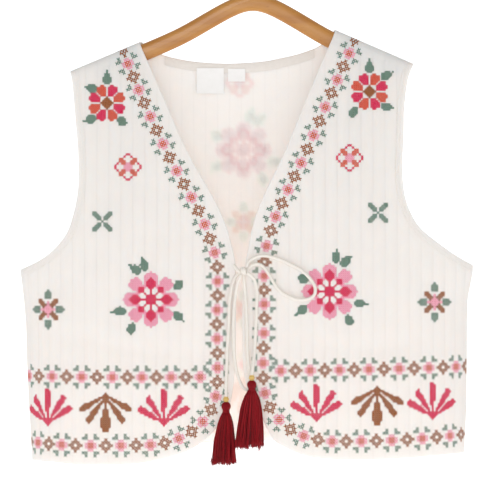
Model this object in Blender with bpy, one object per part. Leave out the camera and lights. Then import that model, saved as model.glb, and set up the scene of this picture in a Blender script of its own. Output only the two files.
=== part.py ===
# Quilted vest with a tied front, hanging on a wooden hanger.
# Metres. The hanger hook is held at the origin, +Z is up and the open front faces -Y.
# Left and right are as seen from the front, so the left front lies at -X.
import math

import bmesh
import bpy
import numpy as np

# Cloth
WALL_VALLEY = 0.0022      # wall at a quilting seam
WALL_CREST = 0.0034       # wall in the middle of a channel
CHANNEL = 0.0139          # one quilting channel, seam to seam
SEAM_GAP = 0.0003         # clear space where two pieces meet
STITCH_SHARPNESS = 0.6    # below 1 the channels are round with narrow seams

# Shoulders: the ridge of the cloth's inner face falls from the hook's line at these slopes
RIDGE_TOP = -0.0799
RIDGE_SLOPE = {"left": 0.4215, "right": 0.4335}
RIDGE_BLEND = 0.080       # half width over which the two slopes join
WRAP_RADIUS = 0.0070      # round of the cloth over the hanger

# Depth of the hollow body
SIDE_ROUND = 0.090        # how far in from a side seam the cloth turns away
SIDE_POWER = 0.70
SHOULDER_FALL = 0.200     # drop over which the body reaches its full depth
DEPTH = {                 # half depth of the cloth at each height
    "z": (-0.630, -0.560, -0.400, -0.300, -0.160),
    "front": (0.0395, 0.0385, 0.0350, 0.0310, 0.0270),
    "back": (0.0345, 0.0335, 0.0310, 0.0290, 0.0250),
}

# Side seams, from the hem up to the underarm
SIDE_SEAM = {
    "z": (-0.6300, -0.6067, -0.5600, -0.5046, -0.4600, -0.4304, -0.4000),
    "left": (-0.2540, -0.2550, -0.2582, -0.2607, -0.2619, -0.2645, -0.2682),
    "right": (0.2415, 0.2435, 0.2461, 0.2467, 0.2467, 0.2477, 0.2536),
}
UNDERARM_Z = {"left": -0.3973, "right": -0.3921}
HEM_CORNER_Z = {"left": -0.6171, "right": -0.6090}

# Armholes from the shoulder tip down to the underarm
SHOULDER_TIP_X = {"left": -0.2126, "right": 0.1862}
ARMHOLE = {
    "left": {
        "x": (-0.2100, -0.2065, -0.2030, -0.2018, -0.2030, -0.2076, -0.2158, -0.2308, -0.2465),
        "z": (-0.1798, -0.2169, -0.2550, -0.2865, -0.3097, -0.3330, -0.3561, -0.3747, -0.3867),
    },
    "right": {
        "x": (0.1800, 0.1757, 0.1745, 0.1728, 0.1752, 0.1820, 0.1930, 0.2123, 0.2340),
        "z": (-0.1760, -0.2076, -0.2400, -0.2819, -0.3097, -0.3310, -0.3490, -0.3654, -0.3808),
    },
}

# Edge of each front from the neck point down the opening and round to the hem
OPENING_EDGE = {
    "left": {
        "x": (-0.1317, -0.1061, -0.0771, -0.0389, -0.0225, -0.0199, -0.0197, -0.0211, -0.0255,
              -0.0360, -0.0534, -0.0731, -0.0940, -0.1250, -0.1775),
        "z": (-0.1370, -0.1926, -0.2587, -0.3283, -0.3789, -0.4100, -0.4700, -0.5139, -0.5487,
              -0.5719, -0.5916, -0.6055, -0.6125, -0.6171, -0.6177),
    },
    "right": {
        "x": (0.0956, 0.0647, 0.0378, 0.0055, -0.0072, -0.0114, -0.0122, -0.0110, -0.0035,
              0.0093, 0.0225, 0.0392, 0.0615, 0.0950, 0.1473),
        "z": (-0.1243, -0.1926, -0.2587, -0.3283, -0.3820, -0.4150, -0.4700, -0.5150, -0.5430,
              -0.5661, -0.5923, -0.6036, -0.6125, -0.6165, -0.6165),
    },
}
# Neckline of the back from the left neck point to the right one, and its hem
BACK_NECK = {
    "x": (-0.1300, -0.1072, -0.0824, -0.0580, -0.0267, 0.0089, 0.0331, 0.0568, 0.0780, 0.0950),
    "z": (-0.1362, -0.1465, -0.1528, -0.1560, -0.1572, -0.1551, -0.1508, -0.1450, -0.1363, -0.1240),
}
BACK_HEM = {"x": (0.120, -0.010, -0.130), "z": (-0.6030, -0.5985, -0.6070)}

# Folds: one soft crease runs across each front, and the hem waves a little
CREASE = {"z": -0.4780, "tilt": 0.03, "depth": 0.0012, "width": 0.0130}
HEM_WAVE = {"top": -0.4600, "reach": 0.1600, "height": 0.0016, "length": 0.1450}

# Rows of edges along the shoulder, in wrap radii below the ridge, and across the panels
SHOULDER_ROWS = (0.134, 0.5, 1.0, 4.0)
ROW_HEIGHTS = (-0.235, -0.290, -0.345, -0.390, -0.455, -0.478, -0.501, -0.550, -0.590)

# Neck facing and labels inside the back
FACING_WIDTH = 0.0105
FACING_WALL = 0.0010
FACING_X = (-0.1040, 0.0740)
LABEL_WALL = 0.0010
LABELS = {
    "label_large": {"x": -0.0500, "top": -0.1620, "width": 0.0317, "height": 0.0294},
    "label_small": {"x": -0.0191, "top": -0.1628, "width": 0.0202, "height": 0.0148},
}

# Hanger
HANGER_HALF = 0.182       # hook line to the end of an arm
HANGER_THICK = 0.0126
HANGER_HIGH = 0.0200
HANGER_CLEAR = 0.0005     # under the cloth
STRAIGHT_FROM = 0.088     # the arms are straight outside this
HANGER_ARCH = {"x": (0.0, 0.012, 0.030, 0.060), "z": (-0.0862, -0.0878, -0.0952, -0.1125)}
HANGER_RINGS = (0, 0.012, 0.024, 0.040, 0.060, 0.080, STRAIGHT_FROM, 0.140)
HANGER_END = 0.012        # the ends of the arms are rounded over this length
HANGER_END_TURNS = (0, 35, 60, 80)
HOOK_WIRE = 0.0018        # radius
HOOK_BOW = 0.0185         # inside radius of the bow
HOOK_START = math.radians(-42)
HOOK_SWEEP = math.radians(222)
HOOK_STEM_TOP = -0.066    # the wire is straight below this and bends out to the bow above it
HOOK_BEND = {"x": 0.0053, "drop": 0.0085}   # a point of the bend, below the start of the bow

# Tie. A cord's middle lies ON_CLOTH off the cloth, and more where start or end says so
CORD_RADIUS = 0.0020
ON_CLOTH = CORD_RADIUS + 0.0005
CORD_STEP = 0.0090
START_FADE = 0.026        # along the cord, from the knot to where it lies on the cloth
END_FADE = 0.036
KNOT = {"x": -0.0114, "z": -0.3990, "half_x": 0.0052, "half_z": 0.0042, "half_y": 0.0046}
KNOT_LEANS = (-50, -20, 10, 40, 70)         # rings of the knot, in degrees from its middle
TIE_STUB = {"x": -0.0226, "z": -0.3922}
STUB_RINGS = {"share": (0.0, 0.35, 0.62), "radius": (0.0020, 0.0020, 0.0021)}
TIES = {
    "loop_right": {
        "x": (-0.0077, -0.0048, 0.0023, 0.0104, 0.0189, 0.0305, 0.0429, 0.0553, 0.0638, 0.0696, 0.0719,
              0.0711, 0.0661, 0.0580, 0.0495, 0.0413, 0.0329, 0.0263, 0.0213, 0.0162, 0.0104, 0.0040,
              -0.0016, -0.0062),
        "z": (-0.3947, -0.3882, -0.3834, -0.3814, -0.3823, -0.3855, -0.3913, -0.3979, -0.4053, -0.4130,
              -0.4195, -0.4261, -0.4304, -0.4322, -0.4315, -0.4285, -0.4234, -0.4161, -0.4079, -0.3995,
              -0.3930, -0.3911, -0.3927, -0.3970),
        "start": 0.0069, "end": ON_CLOTH,
    },
    "loop_hanging": {
        "x": (-0.0138, -0.0153, -0.0176, -0.0196, -0.0215, -0.0227, -0.0223, -0.0216, -0.0190, -0.0151,
              -0.0104, -0.0060, -0.0035, -0.0038, -0.0052, -0.0066, -0.0072, -0.0080, -0.0092, -0.0106,
              -0.0111),
        "z": (-0.4033, -0.4070, -0.4130, -0.4230, -0.4380, -0.4570, -0.4791, -0.4953, -0.5145, -0.5266,
              -0.5345, -0.5358, -0.5290, -0.5180, -0.5058, -0.4849, -0.4600, -0.4400, -0.4220, -0.4110,
              -0.4031),
        "start": 0.0069, "end": ON_CLOTH,
    },
    "tail_left": {
        "x": (-0.0157, -0.0198, -0.0229, -0.0254, -0.0272, -0.0279, -0.0289, -0.0298, -0.0305, -0.0310),
        "z": (-0.4015, -0.4054, -0.4120, -0.4222, -0.4360, -0.4570, -0.4780, -0.4994, -0.5208, -0.5436),
        "start": ON_CLOTH, "end": 0.0060,
    },
    "tail_right": {
        "x": (-0.0066, -0.0020, 0.0019, 0.0038, 0.0046, 0.0044, 0.0037, 0.0030, 0.0024, 0.0014,
              0.0000, -0.0010),
        "z": (-0.4013, -0.4043, -0.4100, -0.4169, -0.4257, -0.4373, -0.4559, -0.4704, -0.4849, -0.4994,
              -0.5110, -0.5188),
        "start": 0.0069, "end": 0.0096,
    },
}
BEAD_RADIUS = 0.0036
BEAD_HIGH = 0.0056
BEAD_RINGS = {"height": (-0.50, -0.28, 0.0, 0.28, 0.50), "radius": (0.71, 0.93, 1.0, 0.93, 0.71)}

# Tassels: a head on the cord's end, then a skirt of strands
TASSELS = {
    "left": {"foot_x": -0.0337, "foot_z": -0.6238, "foot_half": 0.0145, "foot_off": 0.0085},
    "right": {"foot_x": -0.0037, "foot_z": -0.6058, "foot_half": 0.0168, "foot_off": 0.0095},
}
HEAD_RADIUS = 0.0052
HEAD_LEANS = (74, 45, 15, -15, -42)         # rings of the head, in degrees above its middle
NECK_RADIUS = 0.0034
NECK_DROP = 0.0056        # head's middle to the neck
SKIRT = {                 # share of the way down, half width and half depth as shares of the foot's
    "down": (0.00, 0.06, 0.14, 0.33, 0.53, 0.72, 1.00),
    "wide": (0.22, 0.34, 0.50, 0.70, 0.81, 0.87, 1.00),
    "deep": (0.20, 0.27, 0.34, 0.42, 0.47, 0.50, 0.54),
}
STRAND_RINGS = ((18, 0.86), (10, 0.52), (4, 0.20))   # strands in a ring, size of the ring
STRAND_HALF = (0.0005, 0.0011)                       # at the root and at the foot
STRAND_ROWS = (0.09, 0.25, 0.55, 1.00)               # shares of the way down
STRAND_UNEVEN = 0.05                                 # share by which the shortest strands fall short
ROOT_ROWS = (0.0, 0.05, 0.14)                        # the strands are fused above the last of these
ROOT_FIT = 0.96

COLOURS = {
    "cloth": ((0.88, 0.85, 0.81), 0.9, 0.0),
    "lining": ((0.84, 0.79, 0.73), 0.9, 0.0),
    "label": ((0.90, 0.88, 0.84), 0.8, 0.0),
    "cord": ((0.90, 0.86, 0.80), 0.85, 0.0),
    "tassel": ((0.22, 0.01, 0.02), 0.8, 0.0),
    "gold": ((0.80, 0.58, 0.22), 0.3, 1.0),
    "wood": ((0.66, 0.40, 0.17), 0.45, 0.0),
    "steel": ((0.62, 0.62, 0.62), 0.25, 1.0),
}


def clear_scene():
    for thing in list(bpy.data.objects):
        bpy.data.objects.remove(thing, do_unlink=True)


def material(name):
    colour, roughness, metallic = COLOURS[name]
    found = bpy.data.materials.get(name) or bpy.data.materials.new(name)
    found.use_nodes = True
    shader = found.node_tree.nodes["Principled BSDF"]
    shader.inputs["Base Color"].default_value = (*colour, 1.0)
    shader.inputs["Roughness"].default_value = roughness
    shader.inputs["Metallic"].default_value = metallic
    return found


def add_object(name, data, finish):
    made = bpy.data.objects.new(name, data)
    bpy.context.scene.collection.objects.link(made)
    data.materials.append(material(finish))
    return made


def add_mesh(name, points, faces, finish):
    mesh = bpy.data.meshes.new(name)
    mesh.from_pydata([tuple(map(float, p)) for p in points], [], faces)
    shape = bmesh.new()
    shape.from_mesh(mesh)
    bmesh.ops.recalc_face_normals(shape, faces=shape.faces)
    shape.to_mesh(mesh)
    shape.free()
    mesh.shade_smooth()
    mesh.set_sharp_from_angle(angle=math.radians(40))
    return add_object(name, mesh, finish)


def smooth_line(points, step):
    """Points about a step apart on a smooth curve through the given ones."""
    points = np.asarray(points, float)
    padded = np.vstack([2 * points[0] - points[1], points, 2 * points[-1] - points[-2]])
    curve = [points[:1]]
    for a, b, c, d in zip(padded, padded[1:], padded[2:], padded[3:]):
        count = max(8, int(np.linalg.norm(c - b) / step * 4))
        t = np.linspace(0, 1, count + 1)[1:, None]
        curve.append(0.5 * (2 * b + (c - a) * t + (2 * a - 5 * b + 4 * c - d) * t ** 2
                            + (3 * b - a - 3 * c + d) * t ** 3))
    curve = np.vstack(curve)
    along = np.concatenate([[0], np.cumsum(np.linalg.norm(np.diff(curve, axis=0), axis=1))])
    places = np.linspace(0, along[-1], max(2, round(along[-1] / step) + 1))
    return np.column_stack([np.interp(places, along, column) for column in curve.T])


def table(rows, *columns):
    return np.column_stack([rows[name] for name in columns])


def slope_at(x):
    share = np.clip(np.asarray(x) / RIDGE_BLEND, -1, 1)
    middle = (RIDGE_SLOPE["left"] + RIDGE_SLOPE["right"]) / 2
    return middle + share * (RIDGE_SLOPE["right"] - RIDGE_SLOPE["left"]) / 2


def ridge_z(x):
    """Top of the cloth's inner face over the hanger, with a round join between the two slopes."""
    out = np.abs(x)
    out = np.where(out < RIDGE_BLEND, out ** 2 / (2 * RIDGE_BLEND) + RIDGE_BLEND / 2, out)
    return RIDGE_TOP - slope_at(x) * out


def side_x(z, side):
    return np.interp(z, SIDE_SEAM["z"], SIDE_SEAM[side])


def from_side(x, z):
    """How far a point is from the nearer side seam, across the front."""
    return np.maximum(np.minimum(x - side_x(z, "left"), side_x(z, "right") - x), 0)


def hollow(x, z, face):
    """Distance of the cloth's inner face from the plane through the hook and both side seams."""
    edge = from_side(x, z)
    drop = np.maximum(ridge_z(x) - z, 0) * np.cos(np.arctan(slope_at(x)))
    wrap = np.sqrt(WRAP_RADIUS ** 2 - (WRAP_RADIUS - np.minimum(drop, WRAP_RADIUS)) ** 2)
    wrap_round = np.sin(math.pi / 2 * np.minimum(edge / (SIDE_ROUND / 3), 1) ** SIDE_POWER)
    body_round = np.sin(math.pi / 2 * np.minimum(edge / SIDE_ROUND, 1) ** SIDE_POWER)
    fall = np.sin(math.pi / 2 * np.clip((drop - WRAP_RADIUS) / SHOULDER_FALL, 0, 1))
    depth = np.interp(z, DEPTH["z"], DEPTH[face]) - WRAP_RADIUS
    low = np.clip((HEM_WAVE["top"] - z) / HEM_WAVE["reach"], 0, 1)
    wave = HEM_WAVE["height"] * low * np.sin(2 * math.pi * x / HEM_WAVE["length"])
    from_crease = z - CREASE["z"] - CREASE["tilt"] * x
    crease = CREASE["depth"] * np.exp(-(from_crease / CREASE["width"]) ** 2)
    return wrap * wrap_round + (depth * fall + wave - crease) * body_round


def cloth(x, z, face, off):
    """Points that stand off the inner face of the front or the back by the given distance."""
    x, z = np.asarray(x, float), np.asarray(z, float)
    step = 1e-6
    low_x = np.maximum(x - step, side_x(z, "left"))
    high_x = np.minimum(x + step, side_x(z, "right"))
    high_z = np.minimum(z + step, ridge_z(x))
    turn_x = (hollow(high_x, z, face) - hollow(low_x, z, face)) / (high_x - low_x)
    turn_z = (hollow(x, high_z, face) - hollow(x, z - step, face)) / (high_z - z + step)
    way = -1.0 if face == "front" else 1.0
    normal = np.stack([-turn_x, np.full_like(x, way), -turn_z], -1)
    normal /= np.linalg.norm(normal, axis=-1, keepdims=True)
    inner = np.stack([x, way * (hollow(x, z, face) + SEAM_GAP / 2), z], -1)
    return inner + normal * np.asarray(off)[..., None]


def side_arc(z, side, face):
    """Across and round lengths of the cloth from where it starts to turn to the side seam."""
    share = np.linspace(1, 0, 80) ** 2
    across = SIDE_ROUND * (1 - share)
    way = -1 if side == "left" else 1
    x = side_x(z, side) - way * SIDE_ROUND * share
    y = hollow(x, np.full_like(x, z), face)
    round_way = np.concatenate([[0], np.cumsum(np.hypot(np.diff(x), np.diff(y)))])
    return across, round_way


def flatten(points, face):
    """Front-view points as points of the cut piece, with the turned sides laid flat."""
    flat = []
    for x, z in points:
        side = "left" if x < 0 else "right"
        start = abs(side_x(z, side)) - SIDE_ROUND
        if abs(x) > start:
            across, round_way = side_arc(z, side, face)
            x = math.copysign(start + np.interp(abs(x) - start, across, round_way), x)
        flat.append((x, z))
    return flat


def fold_back(u, z, face):
    """Where a point of the cut piece lies across the front."""
    side = "left" if u < 0 else "right"
    start = abs(side_x(z, side)) - SIDE_ROUND
    if abs(u) <= start:
        return u
    across, round_way = side_arc(z, side, face)
    return math.copysign(start + np.interp(abs(u) - start, round_way, across), u)


def channel_wall(u):
    swell = np.abs(np.sin(math.pi * np.asarray(u) / CHANNEL)) ** STITCH_SHARPNESS
    return WALL_VALLEY + (WALL_CREST - WALL_VALLEY) * swell


def score(shape, place, normal, side=0):
    """Cut edges along a line, on all of a flat piece or only left (-1) or right (1) of the middle."""
    faces = [f for f in shape.faces if f.calc_center_median().x * side >= 0]
    parts = {e for f in faces for e in f.edges} | {v for f in faces for v in f.verts} | set(faces)
    bmesh.ops.bisect_plane(shape, geom=list(parts), dist=2e-5, plane_co=place, plane_no=normal)


def cut_piece(outline, face):
    """The cut piece as a flat mesh, scored along the quilting and along the rows."""
    shape = bmesh.new()
    corners = [shape.verts.new((u, 0, z)) for u, z in flatten(outline, face)]
    shape.faces.new(corners)
    wide = [v.co.x for v in corners]
    first, last = (round(v / (CHANNEL / 2)) for v in (min(wide), max(wide)))
    for k in range(first, last + 1):
        score(shape, (k * CHANNEL / 2, 0, 0), (1, 0, 0))
    for side, way in (("left", -1), ("right", 1)):
        tilt = math.atan(RIDGE_SLOPE[side])
        for share in SHOULDER_ROWS:
            drop = share * WRAP_RADIUS / math.cos(tilt)
            score(shape, (0, 0, RIDGE_TOP - drop), (way * math.sin(tilt), 0, math.cos(tilt)), way)
    for z in ROW_HEIGHTS:
        score(shape, (0, 0, z), (0, 0, 1))
    bmesh.ops.remove_doubles(shape, verts=shape.verts, dist=1e-4)
    bmesh.ops.triangulate(shape, faces=shape.faces, quad_method="SHORT_EDGE", ngon_method="BEAUTY")
    return shape


def wall(name, flat, face, low_wall, high_wall, finish):
    """A closed wall between two distances off the cloth's inner face, from a flat cut piece."""
    flat.verts.ensure_lookup_table()
    u = np.array([v.co.x for v in flat.verts])
    z = np.array([v.co.z for v in flat.verts])
    x = np.array([fold_back(*place, face) for place in zip(u, z)])
    z = np.minimum(z, ridge_z(x))
    points = np.vstack([cloth(x, z, face, low_wall(u)), cloth(x, z, face, high_wall(u))])
    count = len(flat.verts)
    faces = [[v.index for v in f.verts] for f in flat.faces]
    faces += [[v.index + count for v in reversed(f.verts)] for f in flat.faces]
    for edge in flat.edges:
        if edge.is_boundary:
            a, b = (v.index for v in edge.verts)
            faces += [[a, b, b + count], [a, b + count, a + count]]
    flat.free()
    return add_mesh(name, points, faces, finish)


def quilted(name, outline, face):
    return wall(name, cut_piece(outline, face), face, lambda u: np.zeros_like(u), channel_wall, "cloth")


def shoulder_points(start, end, count):
    return [(x, float(ridge_z(x))) for x in np.linspace(start, end, count)]


def armhole_points(side):
    """From the shoulder tip to the underarm."""
    tip = SHOULDER_TIP_X[side]
    under = UNDERARM_Z[side]
    rows = table(ARMHOLE[side], "x", "z")
    return smooth_line([(tip, ridge_z(tip)), *rows, (side_x(under, side), under)], 0.011)


def side_points(side, low):
    heights = np.linspace(UNDERARM_Z[side], low, 6)[1:]
    return [(side_x(z, side), z) for z in heights]


def make_front(side):
    rows = table(OPENING_EDGE[side], "x", "z")
    rows[0, 1] = ridge_z(rows[0, 0])
    corner = (side_x(HEM_CORNER_Z[side], side), HEM_CORNER_Z[side])
    opening = smooth_line([*rows, corner], 0.012)
    outline = [*shoulder_points(rows[0, 0], SHOULDER_TIP_X[side], 2)[:-1], *armhole_points(side),
               *side_points(side, HEM_CORNER_Z[side]), *opening[-2:0:-1]]
    return quilted(f"front_{side}", outline, "front")


def back_neck_points():
    rows = table(BACK_NECK, "x", "z")
    rows[0, 1], rows[-1, 1] = ridge_z(rows[0, 0]), ridge_z(rows[-1, 0])
    return smooth_line(rows, 0.011)


def make_back():
    sides = {side: side_points(side, HEM_CORNER_Z[side]) for side in ("left", "right")}
    hem = smooth_line([sides["right"][-1], *table(BACK_HEM, "x", "z"), sides["left"][-1]], 0.022)
    outline = [*back_neck_points(), *armhole_points("right"), *sides["right"], *hem[1:-1],
               *sides["left"][::-1], *armhole_points("left")[::-1]]
    return quilted("back", outline, "back")


def band(name, top_line, high, start, end, face, finish):
    """A strip just inside the back, hanging below a line, between two distances off the cloth."""
    shape = bmesh.new()
    upper = [shape.verts.new((x, 0, z)) for x, z in top_line]
    lower = [shape.verts.new((x, 0, z - high)) for x, z in top_line]
    for a, b, c, d in zip(lower, lower[1:], upper[1:], upper):
        shape.faces.new((a, b, c, d))
    bmesh.ops.triangulate(shape, faces=shape.faces)
    shape.verts.index_update()
    return wall(name, shape, face, lambda u: np.full_like(u, start), lambda u: np.full_like(u, end), finish)


def make_facing():
    line = [p for p in smooth_line(table(BACK_NECK, "x", "z"), 0.008) if FACING_X[0] < p[0] < FACING_X[1]]
    line = [(x, z - SEAM_GAP) for x, z in line]
    return band("neck_facing", line, FACING_WIDTH, -SEAM_GAP - FACING_WALL, -SEAM_GAP, "back", "lining")


def make_labels():
    near = -2 * SEAM_GAP - FACING_WALL
    for name, size in LABELS.items():
        ends = size["x"] - size["width"] / 2, size["x"] + size["width"] / 2
        line = [(x, size["top"]) for x in np.linspace(*ends, 4)]
        band(name, line, size["height"], near - LABEL_WALL, near, "back", "label")


def loft(name, rings, finish):
    """A closed solid through rings of equal count, capped at both ends."""
    sides = len(rings[0])
    faces = [list(range(sides)), list(range((len(rings) - 1) * sides, len(rings) * sides))]
    for k in range(len(rings) - 1):
        for i in range(sides):
            j = (i + 1) % sides
            faces.append([k * sides + i, k * sides + j, (k + 1) * sides + j, (k + 1) * sides + i])
    return add_mesh(name, np.vstack(rings), faces, finish)


def arm_middle(x):
    """Height of the middle of the hanger's wood."""
    side = "left" if x < 0 else "right"
    lean = math.sqrt(1 + RIDGE_SLOPE[side] ** 2)
    straight_x = np.array([STRAIGHT_FROM, STRAIGHT_FROM + 0.020, HANGER_HALF])
    straight_z = RIDGE_TOP - RIDGE_SLOPE[side] * straight_x - (HANGER_CLEAR + HANGER_HIGH / 2) * lean
    rows_x = np.concatenate([HANGER_ARCH["x"], straight_x])
    rows_z = np.concatenate([HANGER_ARCH["z"], straight_z])
    if abs(x) >= STRAIGHT_FROM:
        return float(np.interp(abs(x), rows_x, rows_z))
    curve = smooth_line(np.column_stack([rows_x, rows_z])[:-1], 0.002)
    return float(np.interp(abs(x), curve[:, 0], curve[:, 1]))


def make_hanger():
    corner = HANGER_THICK / 2
    straight = HANGER_HIGH / 2 - corner
    angles = np.linspace(0, math.pi, 7)
    section = [(corner * math.cos(a), straight + corner * math.sin(a)) for a in angles]
    section += [(-y, -n) for y, n in section]
    shares = {x: 1.0 for x in HANGER_RINGS}
    for turn in HANGER_END_TURNS:
        x = HANGER_HALF - HANGER_END * (1 - math.sin(math.radians(turn)))
        shares[x] = math.cos(math.radians(turn))
    stations = sorted({-x for x in shares} | set(shares))
    rings = []
    for x in stations:
        slope = (arm_middle(x + 1e-4) - arm_middle(x - 1e-4)) / 2e-4
        lean = math.hypot(1, slope)
        size = shares[abs(x)]
        rings.append([(x - slope / lean * n * size, y * size, arm_middle(x) + n * size / lean)
                      for y, n in section])
    loft("hanger_wood", rings, "wood")


def add_tube(name, route, radius, rounds, finish):
    curve = bpy.data.curves.new(name, "CURVE")
    curve.dimensions = "3D"
    curve.bevel_depth = radius
    curve.bevel_resolution = rounds
    curve.use_fill_caps = True
    line = curve.splines.new("POLY")
    line.points.add(len(route) - 1)
    for point, place in zip(line.points, route):
        point.co = (*map(float, place), 1.0)
    return add_object(name, curve, finish)


def make_hook():
    """The bow is round about a point below the origin, where a rail holds it, on a straight stem."""
    radius = HOOK_BOW + HOOK_WIRE
    bow = [(radius * math.cos(a), 0, radius * math.sin(a) - HOOK_BOW)
           for a in np.linspace(HOOK_START, HOOK_START + HOOK_SWEEP, 19)]
    wood_top = arm_middle(0) + HANGER_HIGH / 2 + SEAM_GAP
    bend = (HOOK_BEND["x"], 0, bow[0][2] - HOOK_BEND["drop"])
    neck = smooth_line([(0, 0, wood_top), (0, 0, HOOK_STEM_TOP), bend, *bow[:2]], 0.0035)[:-2]
    add_tube("hanger_hook", [*neck, *bow[1:]], HOOK_WIRE, 2, "steel")


def front_face(x, z, off):
    """A place in front of the vest, off the crests of the quilting."""
    return cloth(x, z, "front", WALL_CREST + np.asarray(off))


def fade(share):
    return (1 + np.cos(math.pi * np.clip(share, 0, 1))) / 2


def tie_route(name):
    size = TIES[name]
    line = smooth_line(table(size, "x", "z"), CORD_STEP)
    along = np.concatenate([[0], np.cumsum(np.linalg.norm(np.diff(line, axis=0), axis=1))])
    off = (ON_CLOTH + (size["start"] - ON_CLOTH) * fade(along / START_FADE)
           + (size["end"] - ON_CLOTH) * fade((along[-1] - along) / END_FADE))
    return front_face(line[:, 0], line[:, 1], off)


def make_knot():
    """The knot on the right front's edge, with the short end that comes to it from the left front."""
    turns = np.linspace(0, math.tau, 13)[:-1]
    middle = front_face(KNOT["x"], KNOT["z"], KNOT["half_y"] + SEAM_GAP)
    stub = front_face(TIE_STUB["x"], TIE_STUB["z"], ON_CLOTH)
    rings = []
    for share, radius in table(STUB_RINGS, "share", "radius"):
        centre = stub + (middle - stub) * share
        rings.append([centre + radius * np.array([0, math.cos(t), math.sin(t)]) for t in turns])
    for a in np.radians(KNOT_LEANS):
        centre = middle + np.array([KNOT["half_x"] * math.sin(a), 0, 0])
        rings.append([centre + math.cos(a) * np.array([0, KNOT["half_y"] * math.cos(t),
                                                       KNOT["half_z"] * math.sin(t)]) for t in turns])
    loft("bow_knot", rings, "cord")


def lathe(centre, profile, sides):
    """Rings about an upright axis from rows of radius and height."""
    return [[centre + np.array([r * math.cos(t), r * math.sin(t), h])
             for t in np.linspace(0, math.tau, sides + 1)[:-1]] for r, h in profile]


def make_bead(side, top):
    profile = table(BEAD_RINGS, "radius", "height") * (BEAD_RADIUS, BEAD_HIGH)
    middle = top - np.array([0, 0, BEAD_HIGH / 2])
    loft(f"bead_{side}", lathe(middle, profile, 14), "gold")


def skirt_sizes(share, foot_half):
    wide = np.interp(share, SKIRT["down"], SKIRT["wide"]) * foot_half
    deep = np.interp(share, SKIRT["down"], SKIRT["deep"]) * foot_half
    return wide, deep


def make_tassel(side):
    size = TASSELS[side]
    cord_end = tie_route(f"tail_{side}")[-1]
    bead_top = cord_end - np.array([0, 0, 2 * SEAM_GAP])
    make_bead(side, bead_top)
    leans = np.radians(HEAD_LEANS)
    head_rings = HEAD_RADIUS * np.column_stack([np.cos(leans), np.sin(leans)])
    head = bead_top - np.array([0, 0, BEAD_HIGH + SEAM_GAP + head_rings[0, 1]])
    foot = front_face(size["foot_x"], size["foot_z"], size["foot_off"])
    foot[2] = size["foot_z"]
    neck = head - np.array([0, 0, NECK_DROP])

    def middle(share):
        return neck + (foot - neck) * share

    rings = lathe(head, head_rings, 12)
    for share in ROOT_ROWS:
        wide, deep = (max(v * ROOT_FIT, NECK_RADIUS) for v in skirt_sizes(share, size["foot_half"]))
        rings.append([middle(share) + np.array([wide * math.cos(t), deep * math.sin(t), 0])
                      for t in np.linspace(0, math.tau, 13)[:-1]])
    tassel = loft(f"tassel_{side}", rings, "tassel")

    points, faces = [], []
    last_row = len(STRAND_ROWS) - 1
    for ring, (count, reach) in enumerate(STRAND_RINGS):
        for k in range(count):
            turn = math.tau * (k + 0.5 * (ring % 2)) / count
            reach_down = 1 - STRAND_UNEVEN * (k * 7 % 5) / 4
            base = len(points)
            for row, share in enumerate(STRAND_ROWS):
                wide, deep = skirt_sizes(share, size["foot_half"])
                half = STRAND_HALF[0] + (STRAND_HALF[1] - STRAND_HALF[0]) * share
                down = share * reach_down if row == last_row else share
                centre = middle(down) + reach * np.array([wide * math.cos(turn), deep * math.sin(turn), 0])
                points += [centre + half * np.array([math.cos(turn + q), math.sin(turn + q), 0])
                           for q in (0, math.pi / 2, math.pi, 3 * math.pi / 2)]
            faces += [[base, base + 1, base + 2, base + 3]]
            last = base + 4 * last_row
            faces += [[last + 3, last + 2, last + 1, last]]
            for row in range(last_row):
                low = base + 4 * row
                faces += [[low + i, low + 4 + i, low + 4 + (i + 1) % 4, low + (i + 1) % 4] for i in range(4)]
    strands = add_mesh(f"strands_{side}", points, faces, "tassel")
    strands.hide_render = True
    strands.display_type = "WIRE"
    join = tassel.modifiers.new("strands", "BOOLEAN")
    join.operation = "UNION"
    join.object = strands


def main():
    clear_scene()
    for side in ("left", "right"):
        make_front(side)
    make_back()
    make_facing()
    make_labels()
    make_hanger()
    make_hook()
    make_knot()
    for name in TIES:
        add_tube(name, tie_route(name), CORD_RADIUS, 2, "cord")
    for side in TASSELS:
        make_tassel(side)


main()
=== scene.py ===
# A quilted cotton vest with cross-stitched flowers, tied at the front, on its wooden hanger.
# Metres, +Z up, the open front towards -Y. Left and right are as seen from the front.
import math

import bmesh
import bpy
import numpy as np
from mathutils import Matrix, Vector


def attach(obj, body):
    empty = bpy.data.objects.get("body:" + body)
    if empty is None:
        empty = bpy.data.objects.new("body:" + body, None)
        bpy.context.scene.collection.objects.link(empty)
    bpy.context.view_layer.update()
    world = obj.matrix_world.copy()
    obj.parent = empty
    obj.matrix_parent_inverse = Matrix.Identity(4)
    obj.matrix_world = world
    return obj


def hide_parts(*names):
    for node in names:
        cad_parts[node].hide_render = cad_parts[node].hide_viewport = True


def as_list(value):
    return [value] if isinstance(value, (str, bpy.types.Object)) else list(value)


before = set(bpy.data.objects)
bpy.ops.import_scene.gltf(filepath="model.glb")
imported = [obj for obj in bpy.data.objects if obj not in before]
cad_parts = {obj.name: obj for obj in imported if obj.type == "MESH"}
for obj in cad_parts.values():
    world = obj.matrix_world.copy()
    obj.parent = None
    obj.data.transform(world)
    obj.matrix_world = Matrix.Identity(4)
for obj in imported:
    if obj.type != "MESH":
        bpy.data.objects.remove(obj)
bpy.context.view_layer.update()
body = "root"
print("frame loaded")


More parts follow.
